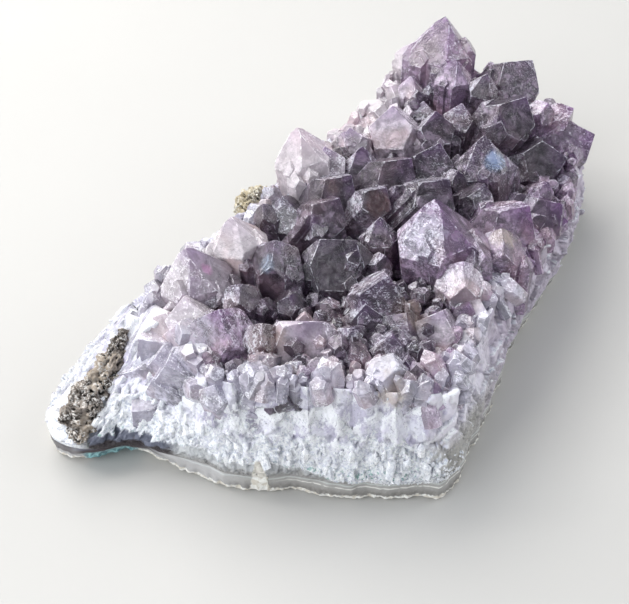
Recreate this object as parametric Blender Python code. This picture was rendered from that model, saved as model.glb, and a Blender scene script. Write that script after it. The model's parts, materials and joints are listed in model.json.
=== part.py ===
"""Amethyst cluster: a hand-sized piece broken out of a geode's lining.

Grey banded agate lies at the bottom, milky columnar quartz stands on it, and pointed amethyst crystals
cover the top. Two patches of host rock are left at one end and at one side.
The piece lies on its flat underside. +Y runs along its length, and +Z points up.
"""

import math
import random

import bmesh
import bpy
import numpy as np
from mathutils import Matrix, Vector

MM = 0.001
GAP = 0.3                     # clearance between two pieces that meet
TOP_CLEARANCE = 2.0           # the gap over the bed's uneven top, as a share of the gap beside it
SEED = 4

# Driving sizes, in millimetres.
AGATE_THICKNESS = 5.0
# The agate's side, from the flat underside up: share of the way from the foot to the top of the broken wall,
# shift outwards, share of the thickness, and share of the lip's curl.
AGATE_SIDE = ((0.0, -3.5, 0.0, 0.0), (0.0, -0.5, 0.14, 1.0), (0.5, 0.35, 0.45, 0.8), (1.0, 0.0, 1.0, 0.0))
RING_POINTS = 132             # points along each loop of the slab, two for each column of quartz
COLUMN_RELIEF = 1.3           # how far a column stands out of the wall at its wide upper end
COLUMN_CREST = 1.2            # how far its top stands over the rim
COLUMN_VARIETY = (0.3, 1.0)   # the smallest and the largest column, as shares of those two
GROOVE_DEPTH = 0.6            # of the grooves between the columns, against the ridges' height
GROOVE_FADE = 0.3             # how soon both fade where the rim's points crowd together
WALL_JAG = 0.5                # unevenness of the broken walls
WALL_SHARES = (0.35, 0.7, 1.0)    # loops of the wall, from its top broken edge to the rim
BROKEN_EDGE = 0.6             # least height of the wall's broken edge over the agate
BOWL = ((0.8, 3.5), (0.4, 7.0))    # the bed's top: share of the way out, depth below the rim
CRUST_THICKNESS = 2.2         # crystal crust that joins all the amethyst crystals
CRUST_INSET = 0.6             # how far inside the rim the crust ends
CRUST_EDGE = (-0.8, 0.4)      # bottom and top of the crust's edge against the rim, as shares of the thickness
CRUST_CORE = (0.8, 12.0)      # share of the way out and height of its underside before the bed cuts it away
PYRAMID_ANGLE = math.radians(38.2)    # quartz end faces against the crystal's long axis
PRISM_OVERSHOOT = 0.5         # how far the uncut prism runs beyond the tip, as a share of the radius
ROOT_HEIGHT = 13.0            # height that a crystal's prism starts from, inside the quartz bed
LARGE_TAPER = 0.92            # width of a large crystal's root over its width at the top
SMALL_TAPER = 0.85
FILL_TRIES = 330              # places tried for small crystals between the large ones
FILL_AREA = ((-33, 33), (-52, 70))
RIM_EVERY = 2                 # points of the rim between the places tried along it
RIM_SPACING = 0.68
RIM_BELT = 9.0                # width of the belt where crystals lean out over the rim
RIM_DROP = 2.0                # how much lower their tips are at the rim itself
FILL_RADIUS = (2.8, 4.4)
FILL_SPACING = 0.86           # least distance between two tips, as a share of their radii's sum
FILL_HEIGHT = (2.5, 5.0)      # height of a small crystal's tip over the rim
FILL_LEAN = (8, 24)           # degrees off upright, away from the rim
RIM_LEAN = 34                 # degrees more at the rim itself
CENTRE = Vector((-0.4, 1.9, 0.0))     # middle of the finished box, moved to the origin

# The photograph's view, which places the crystals' tips: its middle in pixels, the angle from there to its
# side, how far the camera is turned and looks down, the point it looks at, and how far away that is.
PHOTO_MIDDLE = (314.5, 302.0)
HALF_VIEW = math.radians(16)
PHOTO_FOCAL = PHOTO_MIDDLE[0] / math.tan(HALF_VIEW)
VIEW_TURN = math.radians(35)
VIEW_SLOPE = math.radians(45)
VIEW_AIM = (-14.5, -3.2, 0.0)
VIEW_DISTANCE = 250.0

# The slab's edge, anticlockwise from the thin front-left tip. Each row holds the top of the broken wall
# (x, y, z), how far the foot is tucked in below it, and the point where the amethyst starts (x, y, z).
EDGE = (
    ((-36.5, -65.5, 6.5), 0.6, (-30.5, -39.0, 20.0)),
    ((-31.5, -68.2, 6.0), 0.8, (-27.5, -39.5, 21.0)),
    ((-25.5, -67.0, 6.2), 0.6, (-22.5, -40.0, 22.0)),
    ((-18.6, -60.4, 7.0), 1.2, (-18.0, -41.5, 23.0)),
    ((-8.8, -57.6, 6.8), 0.4, (-13.0, -48.0, 23.0)),
    ((3.3, -53.7, 6.5), 0.0, (-3.5, -49.6, 24.0)),
    ((13.2, -47.8, 6.5), 0.0, (10.0, -43.8, 26.0)),
    ((21.9, -43.3, 6.3), 0.0, (18.4, -38.8, 26.0)),
    ((29.8, -37.9, 6.3), 0.0, (26.3, -34.2, 26.0)),
    ((35.9, -33.0, 7.0), -0.4, (32.6, -29.0, 25.0)),
    ((36.5, -28.2, 9.0), 0.0, (33.0, -25.5, 25.0)),
    ((34.2, -14.2, 12.0), 0.2, (31.0, -15.0, 24.0)),
    ((31.8, -1.5, 13.0), 0.4, (28.2, -3.0, 24.0)),
    ((29.4, 10.0, 12.0), 1.0, (27.8, 8.0, 22.0)),
    ((28.0, 29.0, 10.0), 1.5, (27.0, 27.0, 20.0)),
    ((25.5, 46.0, 9.0), 1.5, (23.5, 44.0, 19.0)),
    ((19.5, 61.5, 10.0), 1.5, (17.0, 59.0, 20.0)),
    ((8.5, 69.0, 11.0), 1.5, (7.0, 65.5, 22.0)),
    ((-7.0, 71.5, 13.0), 1.5, (-7.5, 67.5, 24.0)),
    ((-22.0, 68.0, 14.0), 1.5, (-21.5, 64.0, 25.0)),
    ((-32.0, 57.0, 14.0), 1.5, (-29.5, 54.5, 25.0)),
    ((-31.5, 42.0, 14.0), 1.0, (-28.0, 41.0, 24.0)),
    ((-30.0, 28.0, 14.0), 1.0, (-27.0, 27.5, 24.0)),
    ((-32.5, 14.0, 15.0), 1.0, (-29.0, 13.5, 25.0)),
    ((-34.5, 0.0, 15.0), 1.0, (-30.0, 0.0, 22.0)),
    ((-33.0, -14.0, 15.0), 1.0, (-29.5, -14.5, 22.0)),
    ((-33.5, -27.0, 17.0), 1.0, (-31.0, -26.5, 22.0)),
    ((-35.2, -40.0, 15.5), 0.8, (-31.5, -34.0, 21.5)),
    ((-38.0, -51.0, 12.0), 0.8, (-31.3, -37.0, 20.5)),
    ((-37.8, -60.0, 8.6), 0.8, (-31.0, -38.4, 20.0)),
)

MIDDLE_LINE = ((3.0, -24.0), (-5.0, 44.0))    # the line that the loops of the top shrink towards

# Front wall only: height at which the lip of the agate curls up off the surface it lies on.
CURL_POINT = Vector((-20.0, -60.5, 0.0))
CURL_REACH = 13.0
CURL_HEIGHT = 2.2

# How far each of a crystal's six end faces lies beyond its tip, as a share of the radius.
END_SHAPES = {
    "pointed": (0.0, 0.1, 0.02, 0.1, 0.02, 0.1),
    "three": (0.0, 0.32, 0.04, 0.3, 0.04, 0.32),
    "chisel": (-0.16, 0.16, 0.2, -0.14, 0.2, 0.16),
    "slanted": (-0.14, 0.22, 0.04, 0.3, 0.04, 0.22),
}
SMALL_END = (0.0, None, 0.05, None, 0.1, None)    # the small crystals have three end faces

# The larger crystals: where the photograph shows the tip, across and down in pixels, and how high it is;
# then radius, lean from upright in degrees, the compass direction it leans to in degrees from +X, the
# direction that its first end face looks to, and the shape of its end.
CRYSTALS = {
    "far peak": ((445, 17, 41), 8.8, 15, 118, -92, "pointed"),
    "far pale": ((409, 43, 34), 4.8, 14, 215, -95, "three"),
    "far grey": ((455, 59, 36.5), 5.0, 6, 120, -95, "pointed"),
    "far lilac": ((411, 76, 31), 3.8, 5, 200, -80, "pointed"),
    "far white": ((391, 86, 28), 3.0, 30, 205, 15, "three"),
    "far blue": ((487, 74, 35), 4.2, 8, -20, -75, "pointed"),
    "smoky block": ((533, 61, 33), 7.6, 38, 45, -60, "three"),
    "dark far": ((526, 98, 36), 6.6, 28, 35, -60, "three"),
    "lilac right": ((549, 103, 31), 3.6, 25, 30, -20, "three"),
    "speckled right": ((574, 109, 27), 4.4, 50, 45, 10, "three"),
    "rightmost": ((594, 135, 22), 7.0, 60, 30, -70, "three"),
    "right pyramid": ((566, 158, 26), 6.6, 54, 5, -110, "three"),
    "blue pyramid": ((484, 136, 37), 7.2, 10, 150, -64, "pointed"),
    "roof below blue": ((529, 207, 31), 6.8, 35, 30, -60, "three"),
    "roof right": ((566, 206, 25), 6.4, 48, 25, -75, "three"),
    "peach": ((503, 229, 31), 5.6, 12, 120, 5, "three"),
    "great": ((434, 200, 39), 9.2, 12, 160, -86, "pointed"),
    "behind great": ((449, 180, 34), 6.6, 38, 40, -58, "three"),
    "white line": ((440, 144, 34), 6.2, 14, 60, -65, "three"),
    "roof left": ((411, 159, 34), 6.4, 38, 40, -58, "three"),
    "roof middle": ((351, 176, 33), 5.8, 38, 40, -55, "three"),
    "roof front": ((339, 199, 32.5), 5.8, 34, 40, -55, "three"),
    "white wedge": ((386, 188, 33), 4.6, 34, 40, -60, "three"),
    "green grey": ((380, 217, 32), 4.6, 14, 125, -55, "pointed"),
    "broad dark": ((338, 232, 33), 7.6, 6, 125, -58, "chisel"),
    "sparkle": ((276, 241, 32), 5.6, 6, 125, -5, "three"),
    "white pink": ((231, 217, 33), 6.2, 14, 175, -74, "pointed"),
    "pink glint": ((185, 249, 32), 8.0, 14, 185, -97, "pointed"),
    "left pale lower": ((182, 299, 28), 5.6, 14, -160, -60, "slanted"),
    "small grey": ((240, 284, 29), 4.0, 8, 125, 5, "three"),
    "front purple": ((218, 311, 31), 7.0, 4, 180, -96, "three"),
    "brown": ((263, 324, 30), 4.2, 3, 125, 3, "three"),
    "front lilac": ((304, 315, 32), 7.4, 3, -55, -57, "chisel"),
    "grey small": ((352, 329, 29), 3.6, 12, -60, 10, "three"),
    "dark bowl": ((388, 277, 33.5), 6.4, 14, 35, -55, "three"),
    "grey front": ((392, 338, 29.5), 4.6, 8, -50, -60, "slanted"),
    "pinkish": ((442, 312, 30), 5.6, 6, 60, -80, "three"),
    "white lilac": ((462, 262, 32), 5.2, 8, 120, -112, "three"),
    "smoky narrow": ((475, 250, 32), 3.2, 5, -30, 5, "three"),
    "corner pale": ((440, 360, 27), 4.6, 18, -50, -60, "three"),
    "corner white": ((436, 385, 26), 4.4, 26, -60, -50, "slanted"),
    "left big": ((297, 128, 38), 7.0, 16, 170, -95, "pointed"),
    "left big twin": ((325, 147, 34), 5.0, 12, 140, -30, "three"),
    "dark inner": ((362, 146, 33), 5.8, 12, 125, -55, "pointed"),
    "left lilac": ((392, 107, 34), 7.0, 14, 170, -75, "three"),
    "left purple": ((283, 197, 31), 5.6, 8, 180, -70, "three"),
    "left dark small": ((263, 204, 30), 3.4, 20, 180, 0, "three"),
    "left dusty": ((350, 128, 30), 5.0, 16, 170, -60, "three"),
    "glassy dark": ((436, 112, 34), 5.4, 10, 125, -45, "three"),
    "far ridge": ((462, 104, 33), 4.6, 14, 100, -70, "three"),
    "low right": ((568, 222, 21), 4.2, 60, 20, 0, "three"),
    "right block": ((535, 262, 23), 4.0, 45, 10, 0, "three"),
    "right mid": ((505, 165, 31), 5.0, 20, 10, -20, "three"),
    "lump": ((366, 305, 30), 4.6, 10, -55, -45, "three"),
    "brown lump": ((405, 314, 30), 4.6, 8, -40, -100, "three"),
}

# Host rock: the middle line of each patch as (x, y, z, half width, half depth), and its lumpiness.
END_ROCK = (
    (-25.9, -65.6, 7.5, 2.9, 1.5),
    (-27.8, -62.9, 8.9, 4.0, 2.1),
    (-29.0, -59.4, 10.7, 3.7, 2.4),
    (-29.6, -54.8, 13.0, 2.6, 2.2),
    (-30.1, -50.0, 15.4, 1.8, 1.9),
    (-30.9, -45.8, 17.4, 1.2, 1.5),
)
SIDE_ROCK = (
    (-31.0, -8.0, 20.0, 2.4, 2.6),
    (-31.6, -2.5, 20.6, 3.6, 3.2),
    (-31.2, 3.0, 20.6, 2.8, 2.8),
)
ROCK_SIDES = 10
ROCK_STEPS = 10
ROCK_LUMPS = 0.2              # how much its radius varies, as a share
ROCK_END = 0.12               # where a patch's round ends are cut off, as a share of half a turn
ROCK_END_BULGE = 0.8


def clear_scene():
    for old in list(bpy.data.objects):
        bpy.data.objects.remove(old, do_unlink=True)


def new_collection(name):
    made = bpy.data.collections.new(name)
    bpy.context.scene.collection.children.link(made)
    return made


def new_material(name, colour, roughness):
    made = bpy.data.materials.new(name)
    made.use_nodes = True
    shader = made.node_tree.nodes["Principled BSDF"]
    shader.inputs["Base Color"].default_value = (*colour, 1.0)
    shader.inputs["Roughness"].default_value = roughness
    shader.inputs["Metallic"].default_value = 0.0
    return made


def new_object(name, mesh_data, collection, material):
    """Turns a bmesh in millimetres into an object in metres, with the piece's middle at the origin."""
    bmesh.ops.translate(mesh_data, verts=mesh_data.verts, vec=-CENTRE)
    bmesh.ops.scale(mesh_data, verts=mesh_data.verts, vec=(MM, MM, MM))
    mesh = bpy.data.meshes.new(name)
    mesh_data.to_mesh(mesh)
    mesh_data.free()
    made = bpy.data.objects.new(name, mesh)
    mesh.materials.append(material)
    collection.objects.link(made)
    return made


def new_helper(name, mesh_data, collection, material):
    made = new_object(name, mesh_data, collection, material)
    made.hide_render = True
    made.display_type = "WIRE"
    return made


def smooth_loop(rows, count):
    """Reads `count` evenly spaced rows from a closed Catmull-Rom curve through the given rows."""
    rows = np.array(rows, float)
    dense = []
    per_span = 24
    for i in range(len(rows)):
        before, start, end, after = (rows[(i + k) % len(rows)] for k in (-1, 0, 1, 2))
        for t in np.arange(per_span) / per_span:
            dense.append(0.5 * (2 * start + (end - before) * t
                                + (2 * before - 5 * start + 4 * end - after) * t ** 2
                                + (3 * start - before - 3 * end + after) * t ** 3))
    dense = np.array(dense)
    closed = np.vstack([dense, dense[:1]])
    travelled = np.concatenate([[0], np.cumsum(np.linalg.norm(np.diff(closed[:, :2], axis=0), axis=1))])
    wanted = np.arange(count) * travelled[-1] / count
    return np.stack([np.interp(wanted, travelled, closed[:, k]) for k in range(rows.shape[1])], axis=1)


def outward(loop):
    """Level unit vectors pointing out of an anticlockwise loop, one for each of its points."""
    along = np.roll(loop[:, :2], -1, axis=0) - np.roll(loop[:, :2], 1, axis=0)
    along /= np.linalg.norm(along, axis=1, keepdims=True)
    return np.stack([along[:, 1], -along[:, 0], np.zeros(len(loop))], axis=1)


def at_height(loop, height):
    moved = loop.copy()
    moved[:, 2] = height
    return moved


class Slab:
    """The loops that the agate, the quartz bed and the crust share."""

    def __init__(self):
        rows = smooth_loop([(*top, tuck, *rim) for top, tuck, rim in EDGE], RING_POINTS)
        draw = random.Random(SEED)
        self.wall_top = rows[:, 0:3]
        self.rim = rows[:, 4:7]
        self.out = outward(self.wall_top)
        jag = np.array([draw.uniform(-WALL_JAG, WALL_JAG) for _ in range(RING_POINTS)])
        self.wall_top = self.wall_top + self.out * jag[:, None]
        self.foot = at_height(self.wall_top - self.out * rows[:, 3:4], 0.0)
        away = np.linalg.norm(self.foot[:, :2] - np.array(CURL_POINT.xy), axis=1)
        self.curl = CURL_HEIGHT * np.clip(1 - away / CURL_REACH, 0, 1)
        # Every other point is the ridge of a column, and the ones between are the grooves.
        swing = np.array([(1 if k % 2 else -GROOVE_DEPTH) * draw.uniform(*COLUMN_VARIETY)
                          for k in range(RING_POINTS)])
        spread = np.linalg.norm(np.roll(self.rim, -1, axis=0) - np.roll(self.rim, 1, axis=0), axis=1)
        self.column = swing * np.clip(spread / np.mean(spread) - GROOVE_FADE, 0, 1)

    def wall(self, share):
        """The wall's loop at `share` of the way from its top broken edge to the rim."""
        relief = self.out * (self.column * COLUMN_RELIEF * share)[:, None]
        crest = np.outer(self.column * COLUMN_CREST * share ** 3, (0, 0, 1))
        return self.wall_top * (1 - share) + self.rim * share + relief + crest

    def inner(self, share, height):
        """The rim shrunk towards the slab's middle line, at the given height."""
        start, end = np.array(MIDDLE_LINE)
        run = end - start
        along = np.clip((self.rim[:, :2] - start) @ run / (run @ run), 0, 1)
        nearest = start + along[:, None] * run
        shrunk = nearest + (self.rim[:, :2] - nearest) * share
        return np.column_stack([shrunk, np.broadcast_to(height, RING_POINTS)])

    def bowl(self, rise):
        """The loops of the bed's hollow top, raised by `rise`."""
        return [self.inner(share, self.rim[:, 2] - depth + rise) for share, depth in BOWL]


def closed_body(loops, last_height):
    """Lofts through the loops. The first loop is closed flat, the last one with a fan at `last_height`."""
    made = bmesh.new()
    rings = [[made.verts.new(point) for point in loop] for loop in loops]
    count = len(rings[0])
    for low, high in zip(rings, rings[1:]):
        for i in range(count):
            j = (i + 1) % count
            made.faces.new((low[i], low[j], high[j]))
            made.faces.new((low[i], high[j], high[i]))
    made.faces.new(list(reversed(rings[0])))
    middle = made.verts.new((*np.mean(loops[-1], axis=0)[:2], last_height))
    for i in range(count):
        made.faces.new((rings[-1][i], rings[-1][(i + 1) % count], middle))
    return made


def agate_loops(slab):
    """The agate's loops, with every other point of the slab's."""
    loops = []
    for share, shift, height, curl in AGATE_SIDE:
        loop = slab.foot * (1 - share) + slab.wall_top * share + slab.out * shift
        loop[:, 2] = AGATE_THICKNESS * height + slab.curl * curl
        loops.append(loop[::2])
    return loops


def bed_loops(slab, grow=0.0):
    """The quartz bed's loops. `grow` moves the whole surface out, to cut its neighbours with.

    The top rises by more than that, because the rim also moves out, over the slope inside it."""
    out = slab.out * grow
    rise = grow * TOP_CLEARANCE
    lift = np.array([0.0, 0.0, rise])
    base = AGATE_THICKNESS + GAP - grow
    edge = slab.wall(0.0) + out
    edge[:, 2] = np.maximum(edge[:, 2], AGATE_THICKNESS + GAP + BROKEN_EDGE) + grow
    loops = [at_height(edge, base), edge]
    loops.extend(slab.wall(share) + out + lift for share in WALL_SHARES)
    return loops + slab.bowl(rise)


def bed_middle_height(slab, grow=0.0):
    return float(np.mean(slab.rim[:, 2])) - BOWL[-1][1] + grow * TOP_CLEARANCE


def crust_loops(slab):
    """A sheet over the bed with every third point of the slab's, sunk into the bed, which cuts it later."""
    loops = [slab.inner(*CRUST_CORE)]
    for share in CRUST_EDGE:
        loops.append(slab.rim - slab.out * CRUST_INSET + np.array([0.0, 0.0, share * CRUST_THICKNESS]))
    return [loop[::3] for loop in loops + slab.bowl(CRUST_THICKNESS)]


def axis_frame(point, axis, spin):
    """A matrix that puts local +Z along `axis` at `point`, and local +X nearest to +X before the spin."""
    across = (Vector((1, 0, 0)) - axis * axis.x).normalized()
    turned = Matrix((across, axis.cross(across), axis)).transposed().to_4x4()
    return Matrix.Translation(point) @ turned @ Matrix.Rotation(spin, 4, "Z")


def leaning(lean, toward):
    """The direction of a crystal's long axis, from its lean off upright and the way it leans to."""
    return Vector((math.sin(lean) * math.cos(toward), math.sin(lean) * math.sin(toward), math.cos(lean)))


def seen_at(across, down, height):
    """The point at that height which the photograph shows at that pixel, to a tenth of a millimetre."""
    right = np.array([math.cos(VIEW_TURN), math.sin(VIEW_TURN), 0])
    level = np.array([-math.sin(VIEW_TURN), math.cos(VIEW_TURN), 0])
    forward = level * math.cos(VIEW_SLOPE) - np.array([0, 0, math.sin(VIEW_SLOPE)])
    up = level * math.sin(VIEW_SLOPE) + np.array([0, 0, math.cos(VIEW_SLOPE)])
    eye = np.array(VIEW_AIM) - forward * VIEW_DISTANCE
    ray = forward + ((across - PHOTO_MIDDLE[0]) * right - (down - PHOTO_MIDDLE[1]) * up) / PHOTO_FOCAL
    point = eye + ray * (height - eye[2]) / ray[2]
    return round(float(point[0]), 1), round(float(point[1]), 1), height


def large_crystals():
    """Name, tip, axis, radius, spin and end shape of each of the larger crystals."""
    for name, (pick, radius, lean, toward, spin, end) in CRYSTALS.items():
        axis = leaning(math.radians(lean), math.radians(toward))
        yield name, seen_at(*pick), axis, radius, math.radians(spin), END_SHAPES[end]


def crystal(tip, axis, radius, spin, taper, end_shape):
    """A six-sided quartz crystal: a tapering prism, cut by the end faces."""
    made = bmesh.new()
    above = PRISM_OVERSHOOT * radius
    length = (tip[2] - ROOT_HEIGHT) / axis.z
    bmesh.ops.create_cone(made, cap_ends=True, segments=6, radius1=radius * taper, radius2=radius,
                          depth=length + above)
    bmesh.ops.translate(made, verts=made.verts, vec=(0, 0, 0.5 * (above - length)))
    for k, share in enumerate(end_shape):
        if share is None:
            continue
        turn = math.radians(60 * k)
        normal = Vector((math.cos(PYRAMID_ANGLE) * math.cos(turn),
                         math.cos(PYRAMID_ANGLE) * math.sin(turn),
                         math.sin(PYRAMID_ANGLE)))
        cut = bmesh.ops.bisect_plane(made, geom=list(made.verts) + list(made.edges) + list(made.faces),
                                     plane_co=normal * radius * share, plane_no=normal, clear_outer=True)
        rim = [item for item in cut["geom_cut"] if isinstance(item, bmesh.types.BMEdge)]
        if rim:
            bmesh.ops.contextual_create(made, geom=rim)
    bmesh.ops.recalc_face_normals(made, faces=made.faces)
    made.transform(axis_frame(Vector(tip), axis, spin))
    return made


def inside(loop, x, y):
    """Whether (x, y) lies inside the closed loop."""
    found = False
    for i in range(len(loop)):
        x1, y1 = loop[i - 1][:2]
        x2, y2 = loop[i][:2]
        if (y1 > y) != (y2 > y) and x < x1 + (y - y1) * (x2 - x1) / (y2 - y1):
            found = not found
    return found


def nearest_rim(slab, x, y):
    """Index of the rim point nearest to (x, y), and its distance."""
    away = np.linalg.norm(slab.rim[:, :2] - np.array([x, y]), axis=1)
    index = int(np.argmin(away))
    return index, float(away[index])


def small_crystals(slab):
    """Small crystals in the spaces that the large ones leave: first along the rim, then within it."""
    draw = random.Random(SEED + 2)
    taken = [(tip[0], tip[1], radius) for _, tip, _, radius, _, _ in large_crystals()]
    places = [(*slab.rim[k][:2], True) for k in range(0, RING_POINTS, RIM_EVERY)]
    places += [(draw.uniform(*FILL_AREA[0]), draw.uniform(*FILL_AREA[1]), False) for _ in range(FILL_TRIES)]
    found = []
    for x, y, at_rim in places:
        radius = draw.uniform(*FILL_RADIUS)
        spacing = RIM_SPACING if at_rim else FILL_SPACING
        if not at_rim and not inside(slab.rim, x, y):
            continue
        if any(math.hypot(x - a, y - b) < spacing * (c + radius) for a, b, c in taken):
            continue
        index, away = nearest_rim(slab, x, y)
        out = slab.out[index]
        edge_share = max(0.0, 1 - away / RIM_BELT)
        height = slab.rim[index][2] + draw.uniform(*FILL_HEIGHT) - RIM_DROP * edge_share
        lean = math.radians(draw.uniform(*FILL_LEAN) + RIM_LEAN * edge_share)
        toward = math.atan2(out[1], out[0]) + draw.uniform(-0.5, 0.5)
        if edge_share == 0:
            toward = draw.uniform(-math.pi, math.pi)
        taken.append((x, y, radius))
        found.append(((x, y, height), leaning(lean, toward), radius, draw.uniform(0, math.pi)))
    return found


def rock(line, seed, grow=0.0):
    """A lumpy patch of host rock along a middle line of (x, y, z, half width, half depth)."""
    draw = random.Random(seed)
    rows = np.array(line, float)
    shares = np.linspace(0, len(rows) - 1, ROCK_STEPS + 1)
    path = np.stack([np.interp(shares, range(len(rows)), rows[:, k]) for k in range(5)], axis=1)
    made = bmesh.new()
    rings = []
    for i, (x, y, z, wide, deep) in enumerate(path):
        ahead = path[min(i + 1, ROCK_STEPS)][:3] - path[max(i - 1, 0)][:3]
        across = np.cross(ahead, (0, 0, 1))
        across /= np.linalg.norm(across)
        above = np.cross(across, ahead)
        above /= np.linalg.norm(above)
        end = math.sin(math.pi * (ROCK_END + (1 - 2 * ROCK_END) * i / ROCK_STEPS)) ** 0.5
        ring = []
        for k in range(ROCK_SIDES):
            turn = 2 * math.pi * k / ROCK_SIDES
            swell = 1 + draw.uniform(-ROCK_LUMPS, ROCK_LUMPS)
            sideways = (wide * end * swell + grow) * math.cos(turn)
            upwards = (deep * end * swell + grow) * math.sin(turn)
            ring.append(made.verts.new(np.array([x, y, z]) + across * sideways + above * upwards))
        rings.append(ring)
    for low, high in zip(rings, rings[1:]):
        for k in range(ROCK_SIDES):
            j = (k + 1) % ROCK_SIDES
            made.faces.new((low[k], low[j], high[j]))
            made.faces.new((low[k], high[j], high[k]))
    for ring, step in ((rings[0], path[0] - path[1]), (rings[-1], path[-1] - path[-2])):
        middle = sum((v.co for v in ring), Vector()) / ROCK_SIDES
        cap = made.verts.new(middle + Vector(step[:3]).normalized() * (ROCK_END_BULGE + grow))
        for k in range(ROCK_SIDES):
            made.faces.new((ring[k], ring[(k + 1) % ROCK_SIDES], cap))
    bmesh.ops.recalc_face_normals(made, faces=made.faces)
    return made


def add_boolean(target, name, operation, collection):
    step = target.modifiers.new(name, "BOOLEAN")
    step.operation = operation
    step.operand_type = "COLLECTION"
    step.collection = collection
    step.solver = "EXACT"


def keep_main_body(target):
    """Applies the Booleans and drops the crumbs that they leave beside the one grown-together body."""
    graph = bpy.context.evaluated_depsgraph_get()
    baked = bpy.data.meshes.new_from_object(target.evaluated_get(graph))
    shape = bmesh.new()
    shape.from_mesh(baked)
    left = set(shape.verts)
    bodies = []
    while left:
        body = {left.pop()}
        edge_of_body = set(body)
        while edge_of_body:
            edge_of_body = {edge.other_vert(v) for v in edge_of_body for edge in v.link_edges} - body
            body |= edge_of_body
        left -= body
        bodies.append(body)
    main_body = max(bodies, key=len)
    crumbs = [v for body in bodies if body is not main_body for v in body]
    bmesh.ops.delete(shape, geom=crumbs, context="VERTS")
    shape.to_mesh(baked)
    shape.free()
    target.modifiers.clear()
    target.data = baked


def main():
    clear_scene()
    parts = new_collection("amethyst_cluster")
    crystal_cutters = new_collection("crystal shapes")
    rock_clearance = new_collection("clearance of the rock")
    bed_clearance = new_collection("clearance of the bed")
    slab = Slab()

    agate = new_material("grey agate", (0.55, 0.53, 0.50), 0.35)
    quartz = new_material("milky quartz", (0.82, 0.80, 0.86), 0.45)
    amethyst = new_material("amethyst", (0.34, 0.26, 0.46), 0.15)
    basalt = new_material("brown-grey host rock", (0.22, 0.19, 0.16), 0.9)
    ochre = new_material("ochre host rock", (0.62, 0.54, 0.36), 0.9)

    new_object("agate_base", closed_body(agate_loops(slab), AGATE_THICKNESS), parts, agate)

    bed = new_object("quartz_bed", closed_body(bed_loops(slab), bed_middle_height(slab)), parts, quartz)
    for name, line, seed, material in (("host_rock_end", END_ROCK, SEED + 5, basalt),
                                       ("host_rock_side", SIDE_ROCK, SEED + 6, ochre)):
        new_object(name, rock(line, seed), parts, material)
        new_helper(name + " clearance", rock(line, seed, GAP), rock_clearance, quartz)
    add_boolean(bed, "rock seats", "DIFFERENCE", rock_clearance)

    sheet = closed_body(crust_loops(slab), bed_middle_height(slab) + CRUST_THICKNESS)
    crust = new_object("amethyst_crystals", sheet, parts, amethyst)
    for name, tip, axis, radius, spin, end_shape in large_crystals():
        shape = crystal(tip, axis, radius, spin, LARGE_TAPER, end_shape)
        new_helper("crystal " + name, shape, crystal_cutters, amethyst)
    for number, (tip, axis, radius, spin) in enumerate(small_crystals(slab)):
        shape = crystal(tip, axis, radius, spin, SMALL_TAPER, SMALL_END)
        new_helper(f"small crystal {number}", shape, crystal_cutters, amethyst)
    add_boolean(crust, "crystals", "UNION", crystal_cutters)
    new_helper("bed clearance", closed_body(bed_loops(slab, GAP), bed_middle_height(slab, GAP)),
               bed_clearance, amethyst)
    add_boolean(crust, "bed below", "DIFFERENCE", bed_clearance)
    add_boolean(crust, "rock beside", "DIFFERENCE", rock_clearance)
    keep_main_body(crust)


main()
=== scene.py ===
"""The looks of the amethyst cluster: detailed pieces in place of the plain solids, floor, light and camera.

Places and sizes are in millimetres in the part's own frame before its middle is moved to the origin.
"""

import json
import math
import random

import bmesh
import bpy
import numpy as np
from mathutils import Matrix, Vector, kdtree, noise

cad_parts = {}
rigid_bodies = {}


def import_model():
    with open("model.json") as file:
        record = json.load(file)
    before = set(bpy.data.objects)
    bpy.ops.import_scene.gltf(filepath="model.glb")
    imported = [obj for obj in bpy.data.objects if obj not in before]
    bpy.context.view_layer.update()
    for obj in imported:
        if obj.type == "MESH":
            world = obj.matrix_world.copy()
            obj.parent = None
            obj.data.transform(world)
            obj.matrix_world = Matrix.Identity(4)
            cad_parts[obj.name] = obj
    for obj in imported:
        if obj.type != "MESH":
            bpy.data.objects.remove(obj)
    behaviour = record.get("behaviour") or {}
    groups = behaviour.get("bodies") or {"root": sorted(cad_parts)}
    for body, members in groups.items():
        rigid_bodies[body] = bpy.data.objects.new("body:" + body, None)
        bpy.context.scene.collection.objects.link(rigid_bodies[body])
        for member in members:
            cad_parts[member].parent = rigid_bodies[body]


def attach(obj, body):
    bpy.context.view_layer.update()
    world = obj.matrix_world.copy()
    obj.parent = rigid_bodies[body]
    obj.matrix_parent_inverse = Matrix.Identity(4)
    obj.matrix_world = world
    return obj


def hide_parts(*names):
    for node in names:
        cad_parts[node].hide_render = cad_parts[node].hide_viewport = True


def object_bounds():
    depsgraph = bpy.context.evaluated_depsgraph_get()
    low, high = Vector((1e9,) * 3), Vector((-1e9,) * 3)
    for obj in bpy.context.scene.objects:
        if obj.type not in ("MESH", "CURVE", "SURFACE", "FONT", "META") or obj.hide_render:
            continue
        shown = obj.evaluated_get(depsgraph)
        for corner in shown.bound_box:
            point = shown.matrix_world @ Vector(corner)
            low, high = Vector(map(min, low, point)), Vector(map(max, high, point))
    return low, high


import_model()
cad_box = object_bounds()

MM = 0.001
CENTRE = Vector((-0.4, 1.9, 0.0))     # middle of the finished box, moved to the origin
SEED = 4

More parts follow.
